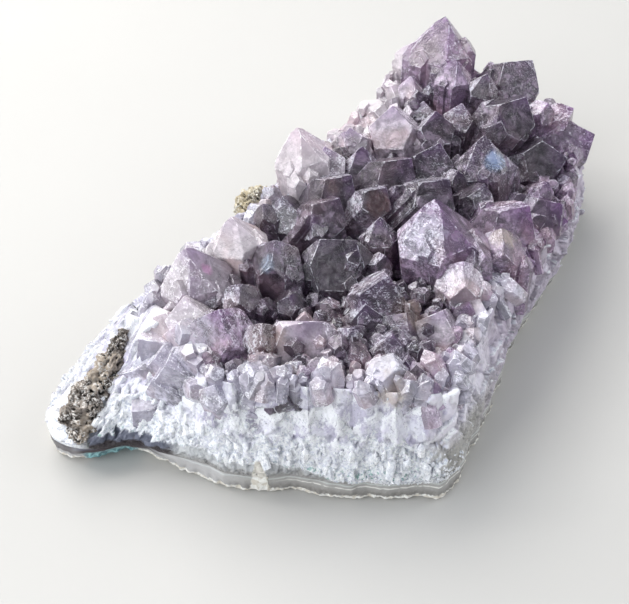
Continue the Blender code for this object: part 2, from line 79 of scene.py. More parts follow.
# The photograph's view, as in the part: its middle in pixels, the angle from there to its side, how far the
# camera is turned and looks down, the point it looks at, and how far away that is.
PHOTO_MIDDLE = (314.5, 302.0)
HALF_VIEW = math.radians(16)
VIEW_TURN = math.radians(35)
VIEW_SLOPE = math.radians(45)
VIEW_AIM = (-14.5, -3.2, 0.0)
VIEW_DISTANCE = 250.0
RIGHT = np.array([math.cos(VIEW_TURN), math.sin(VIEW_TURN), 0])
BACK = np.array([-math.sin(VIEW_TURN), math.cos(VIEW_TURN), 0])
FORWARD = BACK * math.cos(VIEW_SLOPE) - np.array([0, 0, math.sin(VIEW_SLOPE)])
EYE = np.array(VIEW_AIM) - FORWARD * VIEW_DISTANCE

# The slab, with the same values as the part.
AGATE_THICKNESS = 5.0
GAP = 0.3
RING_POINTS = 132
COLUMN_RELIEF = 1.3
COLUMN_CREST = 1.2
COLUMN_VARIETY = (0.3, 1.0)
GROOVE_DEPTH = 0.6
GROOVE_FADE = 0.3
WALL_JAG = 0.5
BROKEN_EDGE = 0.6
BOWL = ((0.8, 3.5), (0.4, 7.0))
CRUST_THICKNESS = 2.2
EDGE = (
    ((-36.5, -65.5, 6.5), 0.6, (-30.5, -39.0, 20.0)),
    ((-31.5, -68.2, 6.0), 0.8, (-27.5, -39.5, 21.0)),
    ((-25.5, -67.0, 6.2), 0.6, (-22.5, -40.0, 22.0)),
    ((-18.6, -60.4, 7.0), 1.2, (-18.0, -41.5, 23.0)),
    ((-8.8, -57.6, 6.8), 0.4, (-13.0, -48.0, 23.0)),
    ((3.3, -53.7, 6.5), 0.0, (-3.5, -49.6, 24.0)),
    ((13.2, -47.8, 6.5), 0.0, (10.0, -43.8, 26.0)),
    ((21.9, -43.3, 6.3), 0.0, (18.4, -38.8, 26.0)),
    ((29.8, -37.9, 6.3), 0.0, (26.3, -34.2, 26.0)),
    ((35.9, -33.0, 7.0), -0.4, (32.6, -29.0, 25.0)),
    ((36.5, -28.2, 9.0), 0.0, (33.0, -25.5, 25.0)),
    ((34.2, -14.2, 12.0), 0.2, (31.0, -15.0, 24.0)),
    ((31.8, -1.5, 13.0), 0.4, (28.2, -3.0, 24.0)),
    ((29.4, 10.0, 12.0), 1.0, (27.8, 8.0, 22.0)),
    ((28.0, 29.0, 10.0), 1.5, (27.0, 27.0, 20.0)),
    ((25.5, 46.0, 9.0), 1.5, (23.5, 44.0, 19.0)),
    ((19.5, 61.5, 10.0), 1.5, (17.0, 59.0, 20.0)),
    ((8.5, 69.0, 11.0), 1.5, (7.0, 65.5, 22.0)),
    ((-7.0, 71.5, 13.0), 1.5, (-7.5, 67.5, 24.0)),
    ((-22.0, 68.0, 14.0), 1.5, (-21.5, 64.0, 25.0)),
    ((-32.0, 57.0, 14.0), 1.5, (-29.5, 54.5, 25.0)),
    ((-31.5, 42.0, 14.0), 1.0, (-28.0, 41.0, 24.0)),
    ((-30.0, 28.0, 14.0), 1.0, (-27.0, 27.5, 24.0)),
    ((-32.5, 14.0, 15.0), 1.0, (-29.0, 13.5, 25.0)),
    ((-34.5, 0.0, 15.0), 1.0, (-30.0, 0.0, 22.0)),
    ((-33.0, -14.0, 15.0), 1.0, (-29.5, -14.5, 22.0)),
    ((-33.5, -27.0, 17.0), 1.0, (-31.0, -26.5, 22.0)),
    ((-35.2, -40.0, 15.5), 0.8, (-31.5, -34.0, 21.5)),
    ((-38.0, -51.0, 12.0), 0.8, (-31.3, -37.0, 20.5)),
    ((-37.8, -60.0, 8.6), 0.8, (-31.0, -38.4, 20.0)),
)
MIDDLE_LINE = ((3.0, -24.0), (-5.0, 44.0))
CURL_POINT = Vector((-20.0, -60.5, 0.0))
CURL_REACH = 13.0
CURL_HEIGHT = 2.2

# The crystals' shapes, with the same values as the part.
PYRAMID_ANGLE = math.radians(38.2)
PRISM_OVERSHOOT = 0.5
ROOT_HEIGHT = 13.0
LARGE_TAPER = 0.92
SMALL_TAPER = 0.85
FILL_TRIES = 330
FILL_AREA = ((-33, 33), (-52, 70))
RIM_EVERY = 2
RIM_SPACING = 0.68
RIM_BELT = 9.0
RIM_DROP = 2.0
FILL_RADIUS = (2.8, 4.4)
FILL_SPACING = 0.86
FILL_HEIGHT = (2.5, 5.0)
FILL_LEAN = (8, 24)
RIM_LEAN = 34

END_SHAPES = {
    "pointed": (0.0, 0.1, 0.02, 0.1, 0.02, 0.1),
    "three": (0.0, 0.32, 0.04, 0.3, 0.04, 0.32),
    "chisel": (-0.16, 0.16, 0.2, -0.14, 0.2, 0.16),
    "slanted": (-0.14, 0.22, 0.04, 0.3, 0.04, 0.22),
}
SMALL_END = (0.0, None, 0.05, None, 0.1, None)

# Where the photograph shows the tip, across and down in pixels, and its height; radius, lean, direction of
# the lean, direction of the first end face and shape of the end, as in the part; and the crystal's tone.
CRYSTALS = {
    "far peak": ((445, 17, 41), 8.8, 15, 118, -92, "pointed", "violet"),
    "far pale": ((409, 43, 34), 4.8, 14, 215, -95, "three", "pale"),
    "far grey": ((455, 59, 36.5), 5.0, 6, 120, -95, "pointed", "violet"),
    "far lilac": ((411, 76, 31), 3.8, 5, 200, -80, "pointed", "lilac"),
    "far white": ((391, 86, 28), 3.0, 30, 205, 15, "three", "pale"),
    "far blue": ((487, 74, 35), 4.2, 8, -20, -75, "pointed", "smoky"),
    "smoky block": ((533, 61, 33), 7.6, 38, 45, -60, "three", "smoky"),
    "dark far": ((526, 98, 36), 6.6, 28, 35, -60, "three", "smoky"),
    "lilac right": ((549, 103, 31), 3.6, 25, 30, -20, "three", "violet"),
    "speckled right": ((574, 109, 27), 4.4, 50, 45, 10, "three", "violet"),
    "rightmost": ((594, 135, 22), 7.0, 60, 30, -70, "three", "violet"),
    "right pyramid": ((566, 158, 26), 6.6, 54, 5, -110, "three", "smoky"),
    "blue pyramid": ((484, 136, 37), 7.2, 10, 150, -64, "pointed", "smoky"),
    "roof below blue": ((529, 207, 31), 6.8, 35, 30, -60, "three", "violet"),
    "roof right": ((566, 206, 25), 6.4, 48, 25, -75, "three", "violet"),
    "peach": ((503, 229, 31), 5.6, 12, 120, 5, "three", "violet"),
    "great": ((434, 200, 39), 9.2, 12, 160, -86, "pointed", "violet"),
    "behind great": ((449, 180, 34), 6.6, 38, 40, -58, "three", "smoky"),
    "white line": ((440, 144, 34), 6.2, 14, 60, -65, "three", "smoky"),
    "roof left": ((411, 159, 34), 6.4, 38, 40, -58, "three", "smoky"),
    "roof middle": ((351, 176, 33), 5.8, 38, 40, -55, "three", "smoky"),
    "roof front": ((339, 199, 32.5), 5.8, 34, 40, -55, "three", "smoky"),
    "white wedge": ((386, 188, 33), 4.6, 34, 40, -60, "three", "smoky"),
    "green grey": ((380, 217, 32), 4.6, 14, 125, -55, "pointed", "smoky"),
    "broad dark": ((338, 232, 33), 7.6, 6, 125, -58, "chisel", "smoky"),
    "sparkle": ((276, 241, 32), 5.6, 6, 125, -5, "three", "smoky"),
    "white pink": ((231, 217, 33), 6.2, 14, 175, -74, "pointed", "pale"),
    "pink glint": ((185, 249, 32), 8.0, 14, 185, -97, "pointed", "lilac"),
    "left pale lower": ((182, 299, 28), 5.6, 14, -160, -60, "slanted", "pale"),
    "small grey": ((240, 284, 29), 4.0, 8, 125, 5, "three", "smoky"),
    "front purple": ((218, 311, 31), 7.0, 4, 180, -96, "three", "violet"),
    "brown": ((263, 324, 30), 4.2, 3, 125, 3, "three", "smoky"),
    "front lilac": ((304, 315, 32), 7.4, 3, -55, -57, "chisel", "lilac"),
    "grey small": ((352, 329, 29), 3.6, 12, -60, 10, "three", "smoky"),
    "dark bowl": ((388, 277, 33.5), 6.4, 14, 35, -55, "three", "smoky"),
    "grey front": ((392, 338, 29.5), 4.6, 8, -50, -60, "slanted", "smoky"),
    "pinkish": ((442, 312, 30), 5.6, 6, 60, -80, "three", "lilac"),
    "white lilac": ((462, 262, 32), 5.2, 8, 120, -112, "three", "lilac"),
    "smoky narrow": ((475, 250, 32), 3.2, 5, -30, 5, "three", "smoky"),
    "corner pale": ((440, 360, 27), 4.6, 18, -50, -60, "three", "pale"),
    "corner white": ((436, 385, 26), 4.4, 26, -60, -50, "slanted", "pale"),
    "left big": ((297, 128, 38), 7.0, 16, 170, -95, "pointed", "pale"),
    "left big twin": ((325, 147, 34), 5.0, 12, 140, -30, "three", "lilac"),
    "dark inner": ((362, 146, 33), 5.8, 12, 125, -55, "pointed", "smoky"),
    "left lilac": ((392, 107, 34), 7.0, 14, 170, -75, "three", "lilac"),
    "left purple": ((283, 197, 31), 5.6, 8, 180, -70, "three", "smoky"),
    "left dark small": ((263, 204, 30), 3.4, 20, 180, 0, "three", "smoky"),
    "left dusty": ((350, 128, 30), 5.0, 16, 170, -60, "three", "lilac"),
    "glassy dark": ((436, 112, 34), 5.4, 10, 125, -45, "three", "smoky"),
    "far ridge": ((462, 104, 33), 4.6, 14, 100, -70, "three", "smoky"),
    "low right": ((568, 222, 21), 4.2, 60, 20, 0, "three", "violet"),
    "right block": ((535, 262, 23), 4.0, 45, 10, 0, "three", "violet"),
    "right mid": ((505, 165, 31), 5.0, 20, 10, -20, "three", "smoky"),
    "lump": ((366, 305, 30), 4.6, 10, -55, -45, "three", "smoky"),
    "brown lump": ((405, 314, 30), 4.6, 8, -40, -100, "three", "smoky"),
}

# Smaller crystals seen between them, too small for the part: the tip's pixel and height, radius.
EXTRA_CRYSTALS = (
    (440, 72, 31, 2.6), (430, 84, 30, 2.1), (500, 122, 33, 3.5), (534, 228, 26, 3.8), (418, 300, 30, 1.9),
    (262, 352, 27, 2.6), (312, 222, 30, 2.9), (358, 250, 30, 2.4), (385, 255, 29, 2.8), (287, 300, 26, 2.3),
    (262, 300, 26, 2.3), (435, 262, 29, 2.0), (548, 182, 27, 3.0), (345, 132, 30, 2.7), (378, 360, 28, 2.6),
    (405, 365, 27, 2.6), (468, 305, 28, 2.3), (300, 388, 25, 2.5), (338, 378, 26, 2.5), (215, 385, 24, 4.0),
    (190, 385, 23, 2.6), (250, 388, 24, 2.2), (352, 330, 29, 2.0), (484, 184, 31.5, 4.4),
    (459, 171, 32, 3.4),
)

# Crystals half sunk in the walls, with the same columns as the large ones.
WALL_CRYSTALS = (
    ((228, 381, 25.5), 7.2, 30, -70, -58, "chisel", "milky"),
    ((166, 366, 23.0), 5.6, 34, -95, -60, "three", "milky"),
    ((150, 385, 18.5), 5.0, 46, -105, -70, "slanted", "milky"),
    ((132, 412, 12.5), 4.2, 50, -100, -30, "three", "milky"),
    ((282, 384, 26.0), 4.4, 24, -60, -100, "three", "smoky"),
    ((308, 380, 26.0), 4.2, 22, -50, -20, "three", "smoky"),
    ((351, 389, 25.5), 3.6, 26, -60, -50, "three", "milky"),
    ((396, 389, 26.0), 5.2, 28, -55, -80, "three", "milky"),
    ((430, 412, 21.5), 4.0, 52, -50, -55, "slanted", "milky"),
    ((446, 396, 23.0), 4.4, 40, -30, -90, "three", "milky"),
    ((258, 404, 20.0), 4.4, 44, -65, -20, "three", "milky"),
    ((320, 412, 19.0), 4.0, 46, -60, -50, "slanted", "milky"),
    ((152, 312, 24.0), 5.2, 34, -150, -60, "chisel", "pale"),
    ((168, 332, 23.4), 5.4, 38, -120, -95, "three", "pale"),
    ((138, 342, 20.6), 5.0, 42, -115, -40, "slanted", "milky"),
    ((154, 360, 20.6), 4.8, 42, -100, -75, "three", "milky"),
    ((122, 372, 16.2), 4.4, 46, -110, -55, "chisel", "milky"),
)
WALL_TRIES = 1500             # places tried for more of them
WALL_RADIUS = (0.9, 3.0)
WALL_BAND = (0.22, 0.97)      # the share of the wall's height that they stand in
WALL_DEPTH = 7.0              # how long they are

EDGE_BEVEL = 0.12             # width of the worn edges between a crystal's faces
STEPS_PER_MM = 0.6            # parallel growths on a large crystal, for each millimetre of its radius
STEP_RADIUS = (0.2, 0.42)     # their radius, as a share of the crystal's
STEP_REACH = (0.6, 0.95)      # how far from its axis they stand
STEP_RISE = (0.3, 0.9)        # how far they rise over the faces, as a share of their radius
EXTRA_FACE = (0.15, 0.45)     # the small faces between a small crystal's three large ones
CHIPPED = 0.3                 # share of the crystals with a broken tip
CHIP_DEPTH = (0.03, 0.12)
LEVELS = 6                    # shades that the crystals of one tone are told apart by
TIP_REACH = 1.3               # how far from a tip its deeper colour reaches, as a share of the radius
DRUSY_TRIES = 2600            # places tried for the tiny crystals between the others
DRUSY_RADIUS = (0.7, 2.4)
DRUSY_RISE = (0.6, 9.0)       # how far they rise over the crust
DRUSY_BELT = 11.0             # near the rim they rise less
DRUSY_TAPER = 0.9
DRUSY_BEVEL = 0.06
DRUSY_ROOT = 4.0              # how deep their roots reach below the crust
MILKY_BELT, PALE_BELT, MIXED_BELT, VIOLET_BELT = 4, 6, 9, 8    # how far each tone reaches in from the rim
FROSTED_TO = 8.0              # crystals on the rim are milky from the front to this Y
GRAIN_TRIES = 9000            # places tried for crumbs on the walls
COMB_TRIES = 2600             # places tried for the white teeth along the foot of the walls
COMB_RADIUS = (0.3, 1.0)
COMB_BAND = (0.16, 0.62)
TEETH_ABOVE = 5.6             # no tooth reaches below this height
LOOSE = 0.4                   # how far crumbs and teeth may reach out of the part's own box

# Each row of a rock patch: place, half its width and half its depth. The strip at the front left is wider
# than the part's and has one more row at its low end. The patch at the side is the part's own.
END_ROCK = (
    (-25.8, -66.4, 5.8, 2.4, 1.3),
    (-26.7, -65.4, 7.6, 3.4, 1.6),
    (-28.5, -62.7, 9.1, 4.3, 2.1),
    (-29.3, -59.4, 10.8, 3.8, 2.4),
    (-29.6, -54.8, 13.0, 3.0, 2.3),
    (-30.1, -50.0, 15.4, 2.5, 2.0),
    (-30.9, -45.8, 17.4, 1.9, 1.6),
)
SIDE_ROCK = (
    (-31.0, -8.0, 20.0, 2.4, 2.6),
    (-31.6, -2.5, 20.6, 3.6, 3.2),
    (-31.2, 3.0, 20.6, 2.8, 2.8),
)

FINE = 10                     # points of the detailed walls between two of the part's points
WALL_ROWS = 66                # rows of the detailed wall from the agate to the rim
AGATE_ROWS = 20
GROOVE_SLOPE = 3.0            # how steeply the crystals of the walls fall to their borders
CROWDED = (0.85, 0.5)         # the points' spacing, as a share of the mean, where blocks take over
WALL_SPACING = 0.62           # how close crystals of the walls may stand, as a share of their two radii
WALL_BLEND = ((0.1, 0.18), (0.48, 0.56))    # where grains give way to middle cells, and those to large ones
FACET_STEPS = 12              # how finely the faces' directions are told apart, for each face's random painted shade and frost
CELL_JITTER = 0.5             # how far a cell may stand off its even place, as a share of its size
# The walls' cells: seed, height that they cover, width and height of one, least upward tilt of its face;
# then how far they rise, how much they tilt, and the depth of the grooves between them.
LARGE_CELLS = ((11, 24.0, 4.4, 8.5, -1.0), (0.4, 1.9, 0.4))
MIDDLE_CELLS = ((12, 24.0, 2.1, 4.6, 0.3), (0.35, 1.3, 0.4))
GRAIN_CELLS = ((13, 30.0, 0.9, 0.9, -1.0), (0.25, 0.4, 0.25))
BLOCKS = (4.2, 0.6, 1.8, 0.5)               # size, rise, tilt and groove of the blocks
BED_LOOPS = ((0.96, 1.2), (0.9, 2.2), BOWL[0], (0.6, 5.4), BOWL[1])    # share of the way out, depth
# The agate's side, upwards, finer than the part's: share of the way from its foot to its top, how far it is
# moved out, its height as a share of the thickness, and its share of the lift at the front left.
AGATE_SIDE = ((0.0, -3.5, 0.0, 0.0), (0.0, -1.0, 0.02, 0.5), (0.0, -0.1, 0.07, 1.0), (0.1, 0.25, 0.16, 0.9),
              (0.3, 0.15, 0.32, 0.8), (0.55, 0.15, 0.6, 0.5), (0.85, 0.1, 0.85, 0.2), (1.0, -0.3, 1.0, 0.0))
ROCK_POINTS = (84, 110)       # points round a rock patch and along it
ROCK_SWELLS = (10, 10)        # the same for the lumps that its radius varies by
ROCK_LUMPS = 0.2
# Seeds of the draws. Those of the crystals and the rock are added to SEED.
SEEDS = {"small": 2, "tones": 3, "end rock": 5, "side rock": 6, "placed": 0, "fill": 100, "half sunk": 300,
         "extra": 400, "tiny": 500, "walls": 3000, "crumbs' places": 21, "crumbs": 22, "teeth": 23}


# Shapes that several pieces share.

def smooth_loop(rows, count):
    """Reads `count` evenly spaced rows from a closed Catmull-Rom curve through the given rows."""
    rows = np.array(rows, float)
    dense = []
    per_span = 24
    for i in range(len(rows)):
        before, start, end, after = (rows[(i + k) % len(rows)] for k in (-1, 0, 1, 2))
        for t in np.arange(per_span) / per_span:
            dense.append(0.5 * (2 * start + (end - before) * t
                                + (2 * before - 5 * start + 4 * end - after) * t ** 2
                                + (3 * start - before - 3 * end + after) * t ** 3))
    dense = np.array(dense)
    closed = np.vstack([dense, dense[:1]])
    travelled = np.concatenate([[0], np.cumsum(np.linalg.norm(np.diff(closed[:, :2], axis=0), axis=1))])
    wanted = np.arange(count) * travelled[-1] / count
    return read_between(wanted, travelled, closed.T)


def outward(loop):
    """Level unit vectors pointing out of an anticlockwise loop, one for each of its points."""
    along = np.roll(loop[:, :2], -1, axis=0) - np.roll(loop[:, :2], 1, axis=0)
    along /= np.linalg.norm(along, axis=1, keepdims=True)
    return np.stack([along[:, 1], -along[:, 0], np.zeros(len(loop))], axis=1)


def at_height(loop, height):
    moved = loop.copy()
    moved[:, 2] = height
    return moved


def read_between(places, known, columns):
    """Each column read at `places`, in straight lines between its values at the `known` places."""
    return np.stack([np.interp(places, known, column) for column in columns], axis=1)


def finer(values, factor):
    """Values on a closed loop, read `factor` times as often."""
    count = len(values)
    closed = np.concatenate([values, values[:1]])
    columns = closed.T if values.ndim > 1 else closed[None]
    read = read_between(np.arange(count * factor) / factor, np.arange(count + 1), columns)
    return read if values.ndim > 1 else read[:, 0]


class Slab:
    """The loops that the agate, the quartz and the crust share, with `factor` times the part's points."""

    def __init__(self, factor):
        rows = smooth_loop([(*top, tuck, *rim) for top, tuck, rim in EDGE], RING_POINTS)
        draw = random.Random(SEED)
        out = outward(rows[:, 0:3])
        jag = np.array([draw.uniform(-WALL_JAG, WALL_JAG) for _ in range(RING_POINTS)])
        swing = np.array([(1 if k % 2 else -GROOVE_DEPTH) * draw.uniform(*COLUMN_VARIETY)
                          for k in range(RING_POINTS)])
        rim = rows[:, 4:7]
        spread = np.linalg.norm(np.roll(rim, -1, axis=0) - np.roll(rim, 1, axis=0), axis=1)
        column = swing * np.clip(spread / np.mean(spread) - GROOVE_FADE, 0, 1)
        rows = smooth_loop([(*top, tuck, *edge) for top, tuck, edge in EDGE], RING_POINTS * factor)
        self.out = finer(out, factor)
        self.out /= np.linalg.norm(self.out, axis=1, keepdims=True)
        self.column = finer(column, factor)
        self.wall_top = rows[:, 0:3] + self.out * finer(jag, factor)[:, None]
        self.rim = rows[:, 4:7]
        self.foot = at_height(self.wall_top - self.out * rows[:, 3:4], 0.0)
        away = np.linalg.norm(self.foot[:, :2] - np.array(CURL_POINT.xy), axis=1)
        self.curl = CURL_HEIGHT * np.clip(1 - away / CURL_REACH, 0, 1)

    def wall(self, share):
        """The wall's loop at `share` of the way from its top broken edge to the rim."""
        relief = self.out * (self.column * COLUMN_RELIEF * share)[:, None]
        crest = np.outer(self.column * COLUMN_CREST * share ** 3, (0, 0, 1))
        return self.wall_top * (1 - share) + self.rim * share + relief + crest

    def inner(self, share, height):
        """The rim shrunk towards the slab's middle line, at the given height."""
        start, end = np.array(MIDDLE_LINE)
        run = end - start
        along = np.clip((self.rim[:, :2] - start) @ run / (run @ run), 0, 1)
        nearest = start + along[:, None] * run
        shrunk = nearest + (self.rim[:, :2] - nearest) * share
        return np.column_stack([shrunk, np.broadcast_to(height, len(self.rim))])


def axis_frame(point, axis, spin):
    """A matrix that puts local +Z along `axis` at `point`, and local +X nearest to +X before the spin."""
    across = (Vector((1, 0, 0)) - axis * axis.x).normalized()
    turned = Matrix((across, axis.cross(across), axis)).transposed().to_4x4()
    return Matrix.Translation(point) @ turned @ Matrix.Rotation(spin, 4, "Z")


def leaning(lean, toward):
    """The direction of a crystal's long axis, from its lean off upright and the way it leans to."""
    return Vector((math.sin(lean) * math.cos(toward), math.sin(lean) * math.sin(toward), math.cos(lean)))


def seen_at(across, down, height):
    """The point at that height which the photograph shows at that pixel, to a tenth of a millimetre."""
    up = BACK * math.sin(VIEW_SLOPE) + np.array([0, 0, math.cos(VIEW_SLOPE)])
    focal = PHOTO_MIDDLE[0] / math.tan(HALF_VIEW)
    ray = FORWARD + ((across - PHOTO_MIDDLE[0]) * RIGHT - (down - PHOTO_MIDDLE[1]) * up) / focal
    point = EYE + ray * (height - EYE[2]) / ray[2]
    return round(float(point[0]), 1), round(float(point[1]), 1), height


def in_box(points, spare):
    """Whether all of the points lie within the part's own box and `spare` millimetres more."""
    low, high = (np.array(corner) / MM + CENTRE for corner in cad_box)
    return bool(np.all(points > low - spare) and np.all(points < high + spare))


def on_agate(point):
    """Whether the point lies on the wall's foot at the front left, where the agate is thicker and bare."""
    return point[1] < -38 and point[2] < 5.2 + 3.4 * step_between(point[0], 28.0, 6.0)


def inside(loop, x, y):
    """Whether (x, y) lies inside the closed loop."""
    found = False
    for i in range(len(loop)):
        x1, y1 = loop[i - 1][:2]
        x2, y2 = loop[i][:2]
        if (y1 > y) != (y2 > y) and x < x1 + (y - y1) * (x2 - x1) / (y2 - y1):
            found = not found
    return found


def nearest_rim(slab, x, y):
    """Index of the rim point nearest to (x, y), and its distance."""
    away = np.linalg.norm(slab.rim[:, :2] - np.array([x, y]), axis=1)
    index = int(np.argmin(away))
    return index, float(away[index])


# Pieces and their meshes.

def new_piece(name, mesh, material, slot, node, shade_smooth=False):
    """A piece of the object in place of one of the part's nodes. The mesh is in millimetres."""
    mesh.transform(Matrix.Scale(MM, 4) @ Matrix.Translation(-CENTRE))
    if shade_smooth:
        mesh.shade_smooth()
    else:
        mesh.shade_flat()
    mesh.materials.clear()
    mesh.materials.append(material)
    made = bpy.data.objects.new(name, mesh)
    bpy.context.scene.collection.objects.link(made)
    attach(made, "root")
    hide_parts(node)


def mesh_from(name, points, faces):
    mesh = bpy.data.meshes.new(name)
    mesh.from_pydata([tuple(p) for p in points], [], faces)
    mesh.update()
    return mesh


def set_attribute(mesh, name, values, domain="POINT"):
    attribute = mesh.attributes.new(name, "FLOAT", domain)
    attribute.data.foreach_set("value", np.asarray(values, np.float32).ravel())


def loft(name, rows, floor_height=None):
    """A closed mesh through rows with equally many points; a fan to the middle closes each end."""
    rows = [np.asarray(row) for row in rows]
    count = len(rows[0])
    points = np.vstack(rows + [np.mean(rows[0], axis=0)[None], np.mean(rows[-1], axis=0)[None]])
    if floor_height is not None:
        points[-2][2] = floor_height
    faces = []
    for r in range(len(rows) - 1):
        low, high = r * count, (r + 1) * count
        for i in range(count):
            j = (i + 1) % count
            faces.append((low + i, low + j, high + j, high + i))
    bottom, top = len(points) - 2, len(points) - 1
    last = (len(rows) - 1) * count
    for i in range(count):
        j = (i + 1) % count
        faces.append((j, i, bottom))
        faces.append((last + i, last + j, top))
    return mesh_from(name, points, faces)


# The crystals.

def crystal(tip, axis, radius, spin, taper, seed, end_shape, steps, bevel=EDGE_BEVEL, root=ROOT_HEIGHT):
    """The closed shapes of one crystal: its own prism, and the parallel growths on it."""
    draw = random.Random(seed)
    place = axis_frame(Vector(tip), axis, spin)
    length = (tip[2] - root) / axis.z
    level = draw.randrange(LEVELS)
    shapes = [prism(radius, taper, length, draw, end_shape, place, bevel, level)]
    for _ in range(steps):
        small = radius * draw.uniform(*STEP_RADIUS)
        away = radius * draw.uniform(*STEP_REACH)
        turn = draw.uniform(0, 2 * math.pi)
        drop = away / math.tan(PYRAMID_ANGLE) - small * draw.uniform(*STEP_RISE)
        offset = Matrix.Translation((away * math.cos(turn), away * math.sin(turn), -drop))
        shapes.append(prism(small, 0.95, length - drop, draw, SMALL_END, place @ offset, bevel * 0.7, level))
    return shapes


def prism(radius, taper, length, draw, end_shape, place, bevel, level):
    """A six-sided prism with its end faces cut on it, its edges slightly worn.

    Each face keeps twice the crystal's shade level as its material number, and one more on a worn edge."""
    made = bmesh.new()
    above = PRISM_OVERSHOOT * radius
    bmesh.ops.create_cone(made, cap_ends=True, segments=6, radius1=radius * taper, radius2=radius,
                          depth=length + above)
    bmesh.ops.translate(made, verts=made.verts, vec=(0, 0, 0.5 * (above - length)))
    for k, share in enumerate(end_shape):
        if share is None:
            share = draw.uniform(*EXTRA_FACE)
        turn = math.radians(60 * k)
        normal = Vector((math.cos(PYRAMID_ANGLE) * math.cos(turn),
                         math.cos(PYRAMID_ANGLE) * math.sin(turn),
                         math.sin(PYRAMID_ANGLE)))
        cut_off(made, normal * radius * share, normal)
    if draw.random() < CHIPPED:
        normal = leaning(math.radians(draw.uniform(10, 60)), draw.uniform(0, 2 * math.pi))
        highest = max(v.co @ normal for v in made.verts)
        cut_off(made, normal * (highest - radius * draw.uniform(*CHIP_DEPTH)), normal)
    bmesh.ops.remove_doubles(made, verts=made.verts, dist=radius * 0.01)
    bmesh.ops.dissolve_degenerate(made, edges=made.edges, dist=radius * 0.005)
    for face in made.faces:
        face.material_index = 2 * level
    width = min(bevel, radius * 0.05)
    bmesh.ops.bevel(made, geom=list(made.edges), offset=width, segments=1, affect="EDGES",
                    clamp_overlap=True, material=2 * level + 1)
    bmesh.ops.recalc_face_normals(made, faces=made.faces)
    made.transform(place)
    return made


def cut_off(shape, point, normal):
    """Cuts away what lies beyond the plane, and closes the cut."""
    cut = bmesh.ops.bisect_plane(shape, geom=list(shape.verts) + list(shape.edges) + list(shape.faces),
                                 plane_co=point, plane_no=normal, clear_outer=True)
    rim = [item for item in cut["geom_cut"] if isinstance(item, bmesh.types.BMEdge)]
    if rim:
        bmesh.ops.contextual_create(shape, geom=rim)


def small_crystals(slab):
    """The part's small crystals, in the spaces that the large ones leave."""
    draw = random.Random(SEED + SEEDS["small"])
    taken = [(*seen_at(*row[0])[:2], row[1]) for row in CRYSTALS.values()]
    places = [(*slab.rim[k][:2], True) for k in range(0, RING_POINTS, RIM_EVERY)]
    places += [(draw.uniform(*FILL_AREA[0]), draw.uniform(*FILL_AREA[1]), False) for _ in range(FILL_TRIES)]
    found = []
    for x, y, at_rim in places:
        radius = draw.uniform(*FILL_RADIUS)
        spacing = RIM_SPACING if at_rim else FILL_SPACING
        if not at_rim and not inside(slab.rim, x, y):
            continue
        if any(math.hypot(x - a, y - b) < spacing * (c + radius) for a, b, c in taken):
            continue
        index, away = nearest_rim(slab, x, y)
        out = slab.out[index]
        edge_share = max(0.0, 1 - away / RIM_BELT)
        height = slab.rim[index][2] + draw.uniform(*FILL_HEIGHT) - RIM_DROP * edge_share
        lean = math.radians(draw.uniform(*FILL_LEAN) + RIM_LEAN * edge_share)
        toward = math.atan2(out[1], out[0]) + draw.uniform(-0.5, 0.5)
        if edge_share == 0:
            toward = draw.uniform(-math.pi, math.pi)
        taken.append((x, y, radius))
        found.append(((x, y, height), leaning(lean, toward), radius, draw.uniform(0, math.pi)))
    return found


def tone_at(slab, x, y, draw):
    """The tone of a small crystal by its place: milky and pale along the front edges, dark inside."""
    index, away = nearest_rim(slab, x, y)
    out = slab.out[index]
    near = away + draw.uniform(-2, 2)
    left, front = out[0] < -0.5, out[1] < -0.6
    if near < MILKY_BELT and y < FROSTED_TO:
        return "milky"
    if near < PALE_BELT and left:
        return "pale"
    if near < MIXED_BELT and (left or front):
        return draw.choice(("lilac", "smoky"))
    if near < VIOLET_BELT:
        return "violet"
    return "smoky"


def crust_heights(slab):
    """A finder of the height of the crust between the crystals."""
    tree = kdtree.KDTree(len(slab.rim) * 11)
    heights = []
    shares = (0.0, BOWL[1][0], BOWL[0][0], 1.0)
    depths = (BOWL[1][1], BOWL[1][1], BOWL[0][1], 0.0)
    for share in np.linspace(0, 1, 11):
        loop = slab.inner(share, slab.rim[:, 2] - np.interp(share, shares, depths))
        for point in loop:
            tree.insert((point[0], point[1], 0), len(heights))
            heights.append(point[2] + CRUST_THICKNESS * 0.8)
    tree.balance()
    return lambda x, y: heights[tree.find((x, y, 0))[1]]


def away_from_rim(slab, x, y, spread, draw):
    """A direction out of the slab at the rim nearest to (x, y), up to `spread` radians to either side."""
    out = slab.out[nearest_rim(slab, x, y)[0]]
    return math.atan2(out[1], out[0]) + draw.uniform(-spread, spread)


